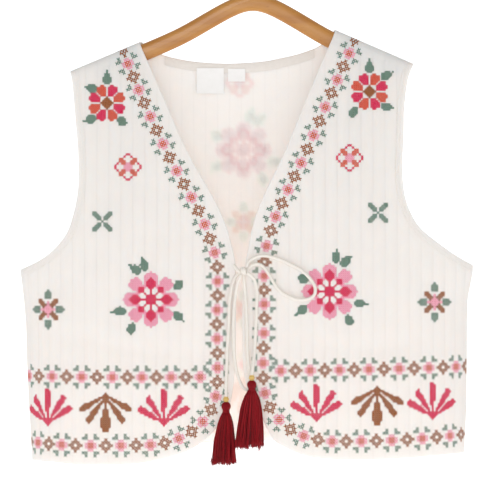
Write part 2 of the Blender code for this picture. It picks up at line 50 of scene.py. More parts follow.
# Camera, light and backdrop. The photo frame is 0.58 m wide at the vest
view = {
    "centreX": -0.0035,
    "centreZ": -0.3654,
    "away": 5.0,
    "wide": 0.580,
    "vestFront": -0.020,
}
studio = {
    "lights": {"key": (-0.6, -4.1, 0.35), "fill": (0.7, -4.3, -0.3), "top": (0.2, 0.2, 2.2)},
    "aim": {"key": (0, 0, -0.35), "fill": (0, 0, -0.35), "top": (0, 0, -0.3)},
    "lightSize": {"key": 1.1, "fill": 1.4, "top": 1.5},
    "power": {"key": 19.5, "fill": 11.5, "top": 5},
    "world": 0.50,
    "paperGlow": 0.60,
    "floorZ": -0.86,
    "floorSize": 16,
    "wallY": 8,
    "wallSize": 10,
}


def screen(red, green, blue):
    # a colour as seen on screen, as the shader's linear one
    shares = [value / 255 for value in (red, green, blue)]
    return tuple(s / 12.92 if s <= 0.04045 else ((s + 0.055) / 1.055) ** 2.4 for s in shares)


def addLight(name, place, target, size, power):
    light = bpy.data.lights.new(name, "AREA")
    light.size = size
    light.energy = power
    made = bpy.data.objects.new(name, light)
    bpy.context.scene.collection.objects.link(made)
    made.location = place
    made.rotation_euler = (Vector(target) - Vector(place)).to_track_quat("-Z", "Y").to_euler()


def makeStudio():
    scene = bpy.context.scene
    lens = bpy.data.cameras.new("camera")
    lens.sensor_width = 36.0
    lens.lens = 36.0 * (view["away"] + view["vestFront"]) / view["wide"]
    camera = bpy.data.objects.new("camera", lens)
    scene.collection.objects.link(camera)
    camera.location = (view["centreX"], -view["away"], view["centreZ"])
    camera.rotation_euler = (math.pi / 2, 0, 0)
    scene.camera = camera

    scene.view_settings.view_transform = "Standard"
    world = bpy.data.worlds.new("studio")
    world.use_nodes = True
    world.node_tree.nodes["Background"].inputs["Color"].default_value = (1.0, 0.99, 0.98, 1.0)
    world.node_tree.nodes["Background"].inputs["Strength"].default_value = studio["world"]
    scene.world = world

    for name, place in studio["lights"].items():
        addLight(name, place, studio["aim"][name], studio["lightSize"][name], studio["power"][name])

    paper = bpy.data.materials.new("backdrop_paper")
    paper.use_nodes = True
    shader = paper.node_tree.nodes["Principled BSDF"]
    shader.inputs["Base Color"].default_value = (0.93, 0.93, 0.93, 1.0)
    shader.inputs["Roughness"].default_value = 0.95
    shader.inputs["Emission Color"].default_value = (1.0, 1.0, 1.0, 1.0)
    shader.inputs["Emission Strength"].default_value = studio["paperGlow"]
    bpy.ops.object.select_all(action="DESELECT")
    bpy.ops.mesh.primitive_plane_add(size=studio["floorSize"], location=(0, 0, studio["floorZ"]))
    floor = bpy.context.object
    floor.name = "floor"
    bpy.ops.mesh.primitive_plane_add(size=studio["wallSize"], location=(0, studio["wallY"], 0),
                                     rotation=(math.pi / 2, 0, 0))
    wall = bpy.context.object
    wall.name = "backdrop"
    for piece in (floor, wall):
        piece.data.materials.append(paper)


makeStudio()
print("studio made")


# Materials
def setSocket(finish, socket, value):
    if isinstance(value, bpy.types.NodeSocket):
        finish.node_tree.links.new(value, socket)
    else:
        socket.default_value = value


def addNode(finish, kind, inputs=None, **settings):
    node = finish.node_tree.nodes.new(kind)
    for name, value in settings.items():
        setattr(node, name, value)
    for name, value in (inputs or {}).items():
        setSocket(finish, node.inputs[name], value)
    return node


def newFinish(name, roughness, metallic=0.0, sheen=0.0, coat=0.0):
    finish = bpy.data.materials.new(name)
    finish.use_nodes = True
    shader = finish.node_tree.nodes["Principled BSDF"]
    shader.inputs["Roughness"].default_value = roughness
    shader.inputs["Metallic"].default_value = metallic
    shader.inputs["Sheen Weight"].default_value = sheen
    shader.inputs["Coat Weight"].default_value = coat
    return finish, shader


def mathNode(finish, operation, first, second=0.0, third=0.0):
    node = finish.node_tree.nodes.new("ShaderNodeMath")
    node.operation = operation
    for socket, value in zip(node.inputs, (first, second, third)):
        setSocket(finish, socket, value)
    return node.outputs[0]


def mixColour(finish, share, first, second, blend="MIX"):
    node = finish.node_tree.nodes.new("ShaderNodeMix")
    node.data_type = "RGBA"
    node.blend_type = blend
    for socket, value in zip((node.inputs[0], node.inputs[6], node.inputs[7]), (share, first, second)):
        setSocket(finish, socket, (*value, 1.0) if isinstance(value, tuple) else value)
    return node.outputs[2]


def addBump(finish, height, distance, strength, under=None):
    inputs = {"Height": height, "Distance": distance, "Strength": strength}
    if under:
        inputs["Normal"] = under
    return addNode(finish, "ShaderNodeBump", inputs).outputs["Normal"]


def setFinish(finish, shader, colour, normal):
    finish.node_tree.links.new(colour, shader.inputs["Base Color"])
    finish.node_tree.links.new(normal, shader.inputs["Normal"])


clothLook = {
    "outside": screen(243, 238, 234),
    "inside": screen(241, 237, 234),
    "paintedGlow": (0.22, 0.02),    # painted glow, low and high: the inner face gives off light that stands in for light through the cloth
    "paintedGlowZ": (-0.50, -0.19),
    "bleed": 0.006,          # how far light spreads inside the cloth
    "seamShade": 0.965,
    "thread": 0.00052,       # pitch of the weave
    "stitch": 0.0034,        # one stitch and the gap after it
    "mottle": 0.025,
}


def makeCloth(name, colour, channel, tinted):
    # plain weave with quilting seams, in the cut piece's own coordinates
    finish, shader = newFinish(name, 0.88, sheen=0.08)
    shader.inputs["Subsurface Weight"].default_value = 1.0
    shader.inputs["Subsurface Radius"].default_value = (1.0, 0.86, 0.78)
    shader.inputs["Subsurface Scale"].default_value = clothLook["bleed"]
    place = addNode(finish, "ShaderNodeUVMap", uv_map="cut").outputs["UV"]
    axes = addNode(finish, "ShaderNodeSeparateXYZ", {"Vector": place})
    across, up = axes.outputs["X"], axes.outputs["Y"]

    drift = addNode(finish, "ShaderNodeMapping", {"Vector": place, "Scale": (9.0, 26.0, 1.0)})
    drift = addNode(finish, "ShaderNodeTexNoise", {"Vector": drift.outputs["Vector"], "Scale": 1.0,
                                                   "Detail": 3.0})
    fromSeam = mathNode(finish, "PINGPONG", mathNode(finish, "DIVIDE", across, channel), 0.5)
    seam = addNode(finish, "ShaderNodeMapRange", {
        "Value": fromSeam, "From Min": 0.0, "From Max": 0.13, "To Min": 1.0, "To Max": 0.0},
        interpolation_type="SMOOTHSTEP")
    faint = addNode(finish, "ShaderNodeMapRange", {"Value": drift.outputs["Fac"], "From Min": 0.35,
                                                   "From Max": 0.68, "To Min": 0.25, "To Max": 1.0})
    seam = mathNode(finish, "MULTIPLY", seam.outputs["Result"], faint.outputs["Result"])
    onLine = mathNode(finish, "LESS_THAN", fromSeam, 0.020)
    dash = mathNode(finish, "FRACT", mathNode(finish, "DIVIDE", up, clothLook["stitch"]))
    dash = mathNode(finish, "GREATER_THAN", dash, 0.24)
    sewn = mathNode(finish, "MULTIPLY", onLine, dash)

    grain = addNode(finish, "ShaderNodeTexNoise", {"Vector": place, "Scale": 42.0, "Detail": 5.0})
    fibre = addNode(finish, "ShaderNodeTexNoise", {"Vector": place, "Scale": 900.0, "Detail": 2.0})
    light = tuple(min(1.0, c * (1 + clothLook["mottle"])) for c in colour)
    dark = tuple(c * (1 - clothLook["mottle"]) for c in colour)
    base = mixColour(finish, grain.outputs["Fac"], dark, light)
    flecks = mathNode(finish, "MULTIPLY", fibre.outputs["Fac"], 0.06)
    base = mixColour(finish, flecks, base, (0.72, 0.68, 0.62))
    # the seam lines are darkened a little: painted shade in the quilting grooves
    shade = clothLook["seamShade"]
    base = mixColour(finish, seam, base, mixColour(finish, 1.0, base, (shade,) * 3, "MULTIPLY"))
    if tinted:
        through = addNode(finish, "ShaderNodeAttribute", attribute_name="showThrough")
        base = mixColour(finish, 1.0, base, through.outputs["Color"], "MULTIPLY")
        # painted glow: the inner face gives off light in its own warm colour, strongest low down where the
        # inside is shaded
        paintedGlow = addNode(finish, "ShaderNodeMapRange", {
            "Value": up, "From Min": clothLook["paintedGlowZ"][0], "From Max": clothLook["paintedGlowZ"][1],
            "To Min": clothLook["paintedGlow"][0], "To Max": clothLook["paintedGlow"][1]})
        paintedGlowColour = mixColour(finish, 1.0, base, (1.0, 0.94, 0.91), "MULTIPLY")
        finish.node_tree.links.new(paintedGlowColour, shader.inputs["Emission Color"])
        finish.node_tree.links.new(paintedGlow.outputs["Result"], shader.inputs["Emission Strength"])

    stretch = addNode(finish, "ShaderNodeMapping", {"Vector": place, "Scale": (75.0, 330.0, 1.0)})
    pucker = addNode(finish, "ShaderNodeTexNoise", {"Vector": stretch.outputs["Vector"], "Scale": 1.0,
                                                    "Detail": 2.0})
    nearSeam = addNode(finish, "ShaderNodeMapRange", {"Value": fromSeam, "From Min": 0.0, "From Max": 0.42,
                                                      "To Min": 1.0, "To Max": 0.15})
    ripples = mathNode(finish, "MULTIPLY", pucker.outputs["Fac"], nearSeam.outputs["Result"])
    normal = addBump(finish, ripples, 0.0008, 0.26)
    groove = mathNode(finish, "SUBTRACT", mathNode(finish, "MULTIPLY", sewn, 0.5), seam)
    normal = addBump(finish, groove, 0.00022, 0.45, normal)
    scale = math.tau / 20 / clothLook["thread"]
    weave = [addNode(finish, "ShaderNodeTexWave", {"Vector": place, "Scale": scale, "Distortion": 0.6,
                                                   "Detail Scale": 30.0}, bands_direction=way)
             for way in ("X", "Y")]
    woven = mathNode(finish, "MULTIPLY", weave[0].outputs["Fac"], weave[1].outputs["Fac"])
    normal = addBump(finish, woven, 0.00006, 0.5, normal)
    setFinish(finish, shader, base, normal)
    return finish


threadLook = {
    "crimson": screen(226, 0, 82),
    "pink": screen(255, 166, 190),
    "orange": screen(224, 84, 56),
    "brown": screen(156, 82, 2),
    "green": screen(108, 140, 124),
    "white": screen(240, 235, 229),
}
# The glow is painted light: the floss gives off a little light in its own colour
flossLook = {"darkest": 0.88, "lightest": 1.14, "paintedGlow": 0.1}


def makeThread(name):
    # floss with a soft gloss and a faint painted glow, a little uneven in colour
    finish, shader = newFinish(f"floss_{name}", 0.55)
    shader.inputs["Specular IOR Level"].default_value = 0.22
    place = addNode(finish, "ShaderNodeTexCoord").outputs["Object"]
    patch = addNode(finish, "ShaderNodeTexNoise", {"Vector": place, "Scale": 350.0, "Detail": 3.0})
    colour = threadLook[name]
    shader.inputs["Emission Color"].default_value = (*colour, 1.0)
    shader.inputs["Emission Strength"].default_value = flossLook["paintedGlow"]
    base = mixColour(finish, patch.outputs["Fac"], tuple(c * flossLook["darkest"] for c in colour),
                     tuple(min(1.0, c * flossLook["lightest"]) for c in colour))
    fibre = addNode(finish, "ShaderNodeTexNoise", {"Vector": place, "Scale": 5200.0, "Detail": 1.0})
    setFinish(finish, shader, base, addBump(finish, fibre.outputs["Fac"], 0.00006, 0.5))
    return finish


cordLook = {"dark": screen(238, 231, 222), "light": screen(248, 243, 236), "rib": 0.0011}
silkLook = {"dark": screen(82, 2, 8), "light": screen(176, 10, 28)}
goldLook = {"dark": screen(226, 186, 92), "light": screen(255, 236, 166)}
woodLook = {"dark": screen(164, 100, 32), "light": screen(208, 150, 72), "pores": screen(150, 92, 40)}
steelLook = {"dark": (0.50, 0.50, 0.51), "light": (0.70, 0.70, 0.71)}
facingLook = {"dark": screen(230, 223, 216), "light": screen(240, 234, 228)}
labelLook = {"dark": screen(246, 245, 243), "light": screen(254, 253, 252)}


def makeCordFinish():
    # fine knitted cotton
    finish, shader = newFinish("cord_cotton", 0.80, sheen=0.10)
    place = addNode(finish, "ShaderNodeUVMap", uv_map="along").outputs["UV"]
    knit = addNode(finish, "ShaderNodeTexWave", {
        "Vector": place, "Scale": math.tau / 20 / cordLook["rib"], "Distortion": 0.8, "Detail": 1.0},
        bands_direction="DIAGONAL")
    patch = addNode(finish, "ShaderNodeTexNoise", {"Vector": place, "Scale": 260.0, "Detail": 3.0})
    base = mixColour(finish, patch.outputs["Fac"], cordLook["dark"], cordLook["light"])
    setFinish(finish, shader, base, addBump(finish, knit.outputs["Fac"], 0.00006, 0.45))
    return finish


def makeTasselFinish():
    finish, shader = newFinish("tassel_silk", 0.50)
    shader.inputs["Specular IOR Level"].default_value = 0.25
    place = addNode(finish, "ShaderNodeTexCoord").outputs["Object"]
    shade = addNode(finish, "ShaderNodeAttribute", attribute_name="thread").outputs["Fac"]
    patch = addNode(finish, "ShaderNodeTexNoise", {"Vector": place, "Scale": 420.0, "Detail": 2.0})
    halfShade = mathNode(finish, "MULTIPLY", shade, 0.5)
    share = mathNode(finish, "MULTIPLY_ADD", patch.outputs["Fac"], 0.5, halfShade)
    base = mixColour(finish, share, silkLook["dark"], silkLook["light"])
    fibre = addNode(finish, "ShaderNodeTexNoise", {"Vector": place, "Scale": 4200.0, "Detail": 1.0})
    setFinish(finish, shader, base, addBump(finish, fibre.outputs["Fac"], 0.00005, 0.4))
    return finish


def makeGold():
    finish, shader = newFinish("bead_gold", 0.30, metallic=1.0)
    place = addNode(finish, "ShaderNodeTexCoord").outputs["Object"]
    wear = addNode(finish, "ShaderNodeTexNoise", {"Vector": place, "Scale": 1400.0, "Detail": 3.0})
    base = mixColour(finish, wear.outputs["Fac"], goldLook["dark"], goldLook["light"])
    setFinish(finish, shader, base, addBump(finish, wear.outputs["Fac"], 0.0001, 0.35))
    return finish


def makeWood():
    # beech under a satin varnish, its grain along the arms
    finish, shader = newFinish("hanger_beech", 0.36, coat=0.25)
    place = addNode(finish, "ShaderNodeTexCoord").outputs["Object"]
    along = addNode(finish, "ShaderNodeMapping", {"Vector": place, "Scale": (7.0, 120.0, 90.0)})
    grain = addNode(finish, "ShaderNodeTexNoise", {"Vector": along.outputs["Vector"], "Scale": 1.0,
                                                   "Detail": 6.0, "Distortion": 0.6})
    fleck = addNode(finish, "ShaderNodeMapping", {"Vector": place, "Scale": (160.0, 900.0, 900.0)})
    pores = addNode(finish, "ShaderNodeTexNoise", {"Vector": fleck.outputs["Vector"], "Scale": 1.0,
                                                   "Detail": 2.0})
    base = mixColour(finish, grain.outputs["Fac"], woodLook["dark"], woodLook["light"])
    dark = addNode(finish, "ShaderNodeMapRange", {"Value": pores.outputs["Fac"], "From Min": 0.60,
                                                  "From Max": 0.75, "To Min": 0.0, "To Max": 0.35})
    base = mixColour(finish, dark.outputs["Result"], base, woodLook["pores"])
    setFinish(finish, shader, base, addBump(finish, pores.outputs["Fac"], 0.0001, 0.25))
    return finish


def makeSteel():
    finish, shader = newFinish("hook_steel", 0.28, metallic=1.0)
    place = addNode(finish, "ShaderNodeTexCoord").outputs["Object"]
    drawn = addNode(finish, "ShaderNodeTexNoise", {"Vector": place, "Scale": 700.0, "Detail": 3.0})
    base = mixColour(finish, drawn.outputs["Fac"], steelLook["dark"], steelLook["light"])
    setFinish(finish, shader, base, addBump(finish, drawn.outputs["Fac"], 0.00004, 0.3))
    return finish


def makeTapeFinish(name, look):
    # satin-woven tape, bare
    finish, shader = newFinish(name, 0.55, sheen=0.10)
    place = addNode(finish, "ShaderNodeUVMap", uv_map="cut").outputs["UV"]
    ribs = addNode(finish, "ShaderNodeTexWave", {"Vector": place, "Scale": math.tau / 20 / 0.0004,
                                                 "Distortion": 0.3}, bands_direction="Y")
    patch = addNode(finish, "ShaderNodeTexNoise", {"Vector": place, "Scale": 160.0, "Detail": 3.0})
    base = mixColour(finish, patch.outputs["Fac"], look["dark"], look["light"])
    setFinish(finish, shader, base, addBump(finish, ribs.outputs["Fac"], 0.00005, 0.5))
    return finish


# The form of the cloth. The hook holds the vest at the origin
cut = {
    "wallValley": 0.0024,     # at a quilting seam
    "wallCrest": 0.0034,      # in the middle of a channel
    "channel": 0.0139,
    "bandWall": 0.0029,       # the faced edge, where the quilting stops
    "bandFrom": 0.0045,
    "bandTo": 0.0120,
    "seamGap": 0.0003,
    "rimInset": 0.0013,
    "sharpness": 1.1,
    "sliceAcross": 8,            # slices to a channel
    "sliceUp": 0.0036,
}
shoulders = {
    "top": -0.0799,
    "slope": {"left": 0.4215, "right": 0.4335},
    "blend": 0.080,
    "wrap": 0.0070,
    "drawn": 0.0017,         # the cut edge is drawn up this far to the seam
    "from": 0.0090,          # and not at all from here down
}
hollowForm = {
    "sideRound": 0.090,
    "sidePower": 0.70,
    "fall": 0.200,
    "z": (-0.630, -0.560, -0.400, -0.300, -0.160),
    "front": (0.0395, 0.0385, 0.0350, 0.0310, 0.0270),
    "back": (0.0345, 0.0335, 0.0310, 0.0290, 0.0250),
}
sideSeam = {
    "z": (-0.6330, -0.6067, -0.5600, -0.5046, -0.4600, -0.4304, -0.4000),
    "left": (-0.2540, -0.2550, -0.2582, -0.2607, -0.2619, -0.2645, -0.2682),
    "right": (0.2415, 0.2435, 0.2461, 0.2467, 0.2467, 0.2477, 0.2536),
    "underarm": {"left": -0.3973, "right": -0.3921},
    "hem": {"left": -0.6192, "right": -0.6103},
}
armhole = {
    "tipX": {"left": -0.2126, "right": 0.1862},
    "left": {
        "x": (-0.2100, -0.2065, -0.2030, -0.2018, -0.2030, -0.2076, -0.2158, -0.2308, -0.2465),
        "z": (-0.1798, -0.2169, -0.2550, -0.2865, -0.3097, -0.3330, -0.3561, -0.3747, -0.3867),
    },
    "right": {
        "x": (0.1800, 0.1757, 0.1745, 0.1728, 0.1752, 0.1820, 0.1930, 0.2123, 0.2340),
        "z": (-0.1760, -0.2076, -0.2400, -0.2819, -0.3097, -0.3310, -0.3490, -0.3654, -0.3808),
    },
}
frontEdge = {
    "left": {
        "x": (-0.1317, -0.1061, -0.0771, -0.0389, -0.0225, -0.0199, -0.0197, -0.0211, -0.0255,
              -0.0360, -0.0534, -0.0731, -0.0940, -0.1220, -0.1500, -0.1960, -0.2332),
        "z": (-0.1370, -0.1926, -0.2587, -0.3283, -0.3789, -0.4100, -0.4700, -0.5139, -0.5487,
              -0.5719, -0.5916, -0.6055, -0.6130, -0.6195, -0.6226, -0.6230, -0.6202),
    },
    "right": {
        "x": (0.0956, 0.0647, 0.0378, 0.0055, -0.0072, -0.0114, -0.0122, -0.0110, -0.0035,
              0.0093, 0.0225, 0.0392, 0.0615, 0.0950, 0.1473),
        "z": (-0.1243, -0.1926, -0.2587, -0.3283, -0.3820, -0.4150, -0.4700, -0.5150, -0.5430,
              -0.5661, -0.5923, -0.6036, -0.6125, -0.6165, -0.6165),
    },
}
backEdge = {
    "neckX": (-0.1300, -0.1072, -0.0824, -0.0580, -0.0267, 0.0089, 0.0331, 0.0568, 0.0780, 0.0950),
    "neckZ": (-0.1362, -0.1465, -0.1528, -0.1560, -0.1572, -0.1551, -0.1508, -0.1450, -0.1363, -0.1240),
    "hemX": (0.120, -0.010, -0.130),
    "hemZ": (-0.6030, -0.5985, -0.6070),
}
hemWave = {"top": -0.4600, "reach": 0.1600, "height": 0.0016, "length": 0.1450}
# Soft creases: middle, lean in degrees, half length, half width and depth, which is less than 0 on a ridge
creases = {
    "face": ("front", "front", "front", "front", "front", "front", "front", "back", "back", "back"),
    "x": (-0.150, 0.140, -0.095, 0.070, -0.215, 0.195, 0.020, -0.120, 0.100, 0.000),
    "z": (-0.482, -0.474, -0.330, -0.320, -0.410, -0.402, -0.530, -0.400, -0.390, -0.520),
    "lean": (2, 3, 62, -62, 40, -42, 80, 55, -57, 4),
    "long": (0.120, 0.120, 0.070, 0.070, 0.045, 0.045, 0.050, 0.080, 0.080, 0.160),
    "wide": (0.0090, 0.0095, 0.0120, 0.0120, 0.0100, 0.0100, 0.0120, 0.0130, 0.0130, 0.0110),
    "deep": (0.0012, 0.0011, 0.0009, -0.0007, 0.0012, 0.0010, -0.0008, 0.0011, 0.0009, 0.0010),
}


def rows(sizes, *columns):
    return np.column_stack([sizes[name] for name in columns])


def smoothLine(points, step):
    # points about a step apart on a smooth curve through the given ones
    points = np.asarray(points, float)
    padded = np.vstack([2 * points[0] - points[1], points, 2 * points[-1] - points[-2]])
    curve = [points[:1]]
    for a, b, c, d in zip(padded, padded[1:], padded[2:], padded[3:]):
        count = max(8, int(np.linalg.norm(c - b) / step * 4))
        t = np.linspace(0, 1, count + 1)[1:, None]
        curve.append(0.5 * (2 * b + (c - a) * t + (2 * a - 5 * b + 4 * c - d) * t ** 2
                            + (3 * b - a - 3 * c + d) * t ** 3))
    curve = np.vstack(curve)
    along = lengthsAlong(curve)
    places = np.linspace(0, along[-1], max(2, round(along[-1] / step) + 1))
    return np.column_stack([np.interp(places, along, column) for column in curve.T])


def lengthsAlong(line):
    return np.concatenate([[0], np.cumsum(np.linalg.norm(np.diff(line, axis=0), axis=1))])


def slopeAt(x):
    share = np.clip(np.asarray(x) / shoulders["blend"], -1, 1)
    low, high = shoulders["slope"]["left"], shoulders["slope"]["right"]
    return (low + high) / 2 + share * (high - low) / 2


def ridgeZ(x):
    out = np.abs(x)
    blend = shoulders["blend"]
    out = np.where(out < blend, out ** 2 / (2 * blend) + blend / 2, out)
    return shoulders["top"] - slopeAt(x) * out


def sideX(z, side):
    return np.interp(z, sideSeam["z"], sideSeam[side])


def softCreases(x, z, face):
    total = np.zeros_like(x * z)
    for way, cx, cz, lean, long, wide, deep in zip(*creases.values()):
        if way != face:
            continue
        c, s = math.cos(math.radians(lean)), math.sin(math.radians(lean))
        along = (x - cx) * c + (z - cz) * s
        bow = 0.12 * long * np.cos(along / long * 2.1 + lean)
        across = -(x - cx) * s + (z - cz) * c - bow
        total = total + deep * np.exp(-(along / long) ** 2 - (across / wide) ** 2)
    return total


def hollow(x, z, face):
    # how far the cloth's inner face lies from the plane through the hook and the side seams
    edge = np.maximum(np.minimum(x - sideX(z, "left"), sideX(z, "right") - x), 0)
    drop = np.maximum(ridgeZ(x) - z, 0) * np.cos(np.arctan(slopeAt(x)))
    wrap = shoulders["wrap"]
    roll = np.sqrt(wrap ** 2 - (wrap - np.minimum(drop, wrap)) ** 2)
    power = hollowForm["sidePower"]
    rollRound = np.sin(math.pi / 2 * np.minimum(edge / (hollowForm["sideRound"] / 3), 1) ** power)
    bodyRound = np.sin(math.pi / 2 * np.minimum(edge / hollowForm["sideRound"], 1) ** power)
    fall = np.sin(math.pi / 2 * np.clip((drop - wrap) / hollowForm["fall"], 0, 1))
    depth = np.interp(z, hollowForm["z"], hollowForm[face]) - wrap
    low = np.clip((hemWave["top"] - z) / hemWave["reach"], 0, 1)
    wave = hemWave["height"] * low * np.sin(2 * math.pi * x / hemWave["length"])
    return roll * rollRound + (depth * fall + wave - softCreases(x, z, face)) * bodyRound


def cloth(x, z, face, off):
    # points that stand off the inner face of the front or the back
    x, z = np.asarray(x, float), np.asarray(z, float)
    step = 1e-6
    lowX = np.maximum(x - step, sideX(z, "left"))
    highX = np.minimum(x + step, sideX(z, "right"))
    highZ = np.minimum(z + step, ridgeZ(x))
    turnX = (hollow(highX, z, face) - hollow(lowX, z, face)) / (highX - lowX)
    turnZ = (hollow(x, highZ, face) - hollow(x, z - step, face)) / (highZ - z + step)
    way = -1.0 if face == "front" else 1.0
    normal = np.stack([-turnX, np.full_like(x, way), -turnZ], -1)
    normal /= np.linalg.norm(normal, axis=-1, keepdims=True)
    inner = np.stack([x, way * (hollow(x, z, face) + cut["seamGap"] / 2), z], -1)
    return inner + normal * np.asarray(off)[..., None]


sideArcs = {}


def sideArc(z, side, face):
    # across and round lengths of the cloth from where it starts to turn to the side seam
    key = (round(float(z), 3), side, face)
    if key not in sideArcs:
        level = key[0]
        share = np.linspace(1, 0, 80) ** 2
        way = -1 if side == "left" else 1
        x = sideX(level, side) - way * hollowForm["sideRound"] * share
        y = hollow(x, np.full_like(x, level), face)
        sideArcs[key] = (hollowForm["sideRound"] * (1 - share), lengthsAlong(np.column_stack([x, y])))
    return sideArcs[key]


def turnSides(points, face, layFlat):
    # between places across the front and places on the flat cut piece
    moved = np.array(points, float)
    for k, (a, z) in enumerate(moved):
        side = "left" if a < 0 else "right"
        start = abs(sideX(z, side)) - hollowForm["sideRound"]
        if abs(a) > start:
            across, roundWay = sideArc(z, side, face)
            columns = (across, roundWay) if layFlat else (roundWay, across)
            moved[k, 0] = math.copysign(start + np.interp(abs(a) - start, *columns), a)
    return moved


def toFront(flat, face):
    # places on the flat cut piece as places across the front, the shoulder's cut edge drawn up to its seam
    front = turnSides(flat, face, False)
    ridge = ridgeZ(front[:, 0])
    drop = np.maximum(ridge - front[:, 1], 0)
    drop = np.maximum(drop - shoulders["drawn"] * np.maximum(1 - drop / shoulders["from"], 0), 0)
    return front[:, 0], ridge - drop


def edgeDistance(points, loop):
    ends = np.roll(loop, -1, axis=0) - loop
    squares = (ends ** 2).sum(1) + 1e-18
    nearest = np.empty(len(points))
    for k in range(0, len(points), 2000):
        apart = points[k:k + 2000, None] - loop[None]
        share = np.clip((apart * ends).sum(2) / squares, 0, 1)
        nearest[k:k + 2000] = np.linalg.norm(apart - share[..., None] * ends, axis=2).min(1)
    return nearest


def insideLoop(points, loop):
    after = np.roll(loop, -1, axis=0)
    found = np.zeros(len(points), bool)
    for (x0, z0), (x1, z1) in zip(loop, after):
        if z0 != z1:
            spans = (points[:, 1] > min(z0, z1)) & (points[:, 1] <= max(z0, z1))
            found ^= spans & (points[:, 0] < x0 + (points[:, 1] - z0) / (z1 - z0) * (x1 - x0))
    return found


def insetLoop(loop, amount):
    tangent = np.roll(loop, -1, axis=0) - np.roll(loop, 1, axis=0)
    tangent /= np.linalg.norm(tangent, axis=1, keepdims=True) + 1e-12
    after = np.roll(loop, -1, axis=0)
    turn = np.sign((loop[:, 0] * after[:, 1] - after[:, 0] * loop[:, 1]).sum())
    return loop + turn * amount * np.column_stack([-tangent[:, 1], tangent[:, 0]])


def swell(u):
    return np.abs(np.sin(math.pi * u / cut["channel"])) ** cut["sharpness"]


def wallHeight(u, fromEdge):
    # thickness of the quilted wall, flat along the faced edges
    quilt = cut["wallValley"] + (cut["wallCrest"] - cut["wallValley"]) * swell(u)
    share = np.clip((fromEdge - cut["bandFrom"]) / (cut["bandTo"] - cut["bandFrom"]), 0, 1)
    share = share * share * (3 - 2 * share)
    return cut["bandWall"] + (quilt - cut["bandWall"]) * share


def armholeLine(side):
    tip, under = armhole["tipX"][side], sideSeam["underarm"][side]
    points = [(tip, ridgeZ(tip)), *rows(armhole[side], "x", "z"), (sideX(under, side), under)]
    return smoothLine(points, 0.003)


def sideLine(side):
    heights = np.linspace(sideSeam["underarm"][side], sideSeam["hem"][side], 60)[1:]
    return np.column_stack([sideX(heights, side), heights])


def openingLine(side):
    edge = rows(frontEdge[side], "x", "z")
    edge[0, 1] = ridgeZ(edge[0, 0])
    return smoothLine([*edge, (sideX(sideSeam["hem"][side], side), sideSeam["hem"][side])], 0.003)


def neckLine():
    neck = rows(backEdge, "neckX", "neckZ")
    neck[0, 1], neck[-1, 1] = ridgeZ(neck[0, 0]), ridgeZ(neck[-1, 0])
    return smoothLine(neck, 0.003)


def hemLine():
    corners = [(sideX(sideSeam["hem"][side], side), sideSeam["hem"][side]) for side in ("right", "left")]
    return smoothLine([corners[0], *rows(backEdge, "hemX", "hemZ"), corners[1]], 0.003)


def frontOutline(side):
    edge = openingLine(side)
    x = np.linspace(edge[0, 0], armhole["tipX"][side], 30)[:-1]
    return np.vstack([np.column_stack([x, ridgeZ(x)]), armholeLine(side), sideLine(side), edge[-2:0:-1]])


def backOutline():
    neck = neckLine()
    right = np.linspace(neck[-1, 0], armhole["tipX"]["right"], 30)[1:-1]
    left = np.linspace(armhole["tipX"]["left"], neck[0, 0], 30)[1:-1]
    return np.vstack([neck, np.column_stack([right, ridgeZ(right)]), armholeLine("right"),
                      sideLine("right"), hemLine()[1:-1], sideLine("left")[::-1],
                      armholeLine("left")[::-1], np.column_stack([left, ridgeZ(left)])])


def addPiece(name, points, faces, finishes, uvs=None, uvName="cut"):
    mesh = bpy.data.meshes.new(name)
    mesh.from_pydata(np.asarray(points, float).tolist(), [], faces)
    for finish in finishes:
        mesh.materials.append(finish)
    if uvs is not None:
        layer = mesh.uv_layers.new(name=uvName)
        corners = np.empty(len(mesh.loops), np.int32)
        mesh.loops.foreach_get("vertex_index", corners)
        layer.data.foreach_set("uv", np.asarray(uvs, np.float32)[corners].ravel())
    mesh.shade_smooth()
    made = bpy.data.objects.new(name, mesh)
    bpy.context.scene.collection.objects.link(made)
    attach(made, body)
    return made


def slicedPiece(loop, across, up):
    # the cut piece laid flat, sliced along the shoulders, the channels and across
    shape = bmesh.new()
    shape.faces.new([shape.verts.new((u, 0, z)) for u, z in loop])

    def sliceAt(place, normal, side=0):
        faces = [f for f in shape.faces if f.calc_center_median().x * side >= 0] if side else shape.faces[:]
        parts = shape.verts[:] + shape.edges[:] + faces
        if side:
            parts = list({e for f in faces for e in f.edges} | {v for f in faces for v in f.verts}) + faces
        bmesh.ops.bisect_plane(shape, geom=parts, dist=2e-5, plane_co=place, plane_no=normal)

    sliceAt((0, 0, 0), (1, 0, 0))
    for side, way in (("left", -1), ("right", 1)):
        tilt = math.atan(shoulders["slope"][side])
        for share in (0.04, 0.13, 0.28, 0.5, 0.75, 1.0, 1.5, 2.2, 3.2):
            drop = share * shoulders["wrap"] / math.cos(tilt)
            sliceAt((0, 0, shoulders["top"] - drop), (way * math.sin(tilt), 0, math.cos(tilt)), way)
    for k in range(math.floor(loop[:, 0].min() / across) + 1, math.ceil(loop[:, 0].max() / across)):
        sliceAt((k * across, 0, 0), (1, 0, 0))
    for k in range(math.floor(loop[:, 1].min() / up) + 1, math.ceil(loop[:, 1].max() / up)):
        sliceAt((0, 0, k * up), (0, 0, 1))
    bmesh.ops.remove_doubles(shape, verts=shape.verts, dist=1.5e-4)
    bmesh.ops.triangulate(shape, faces=[f for f in shape.faces if len(f.verts) > 4])
    shape.verts.index_update()
    return shape


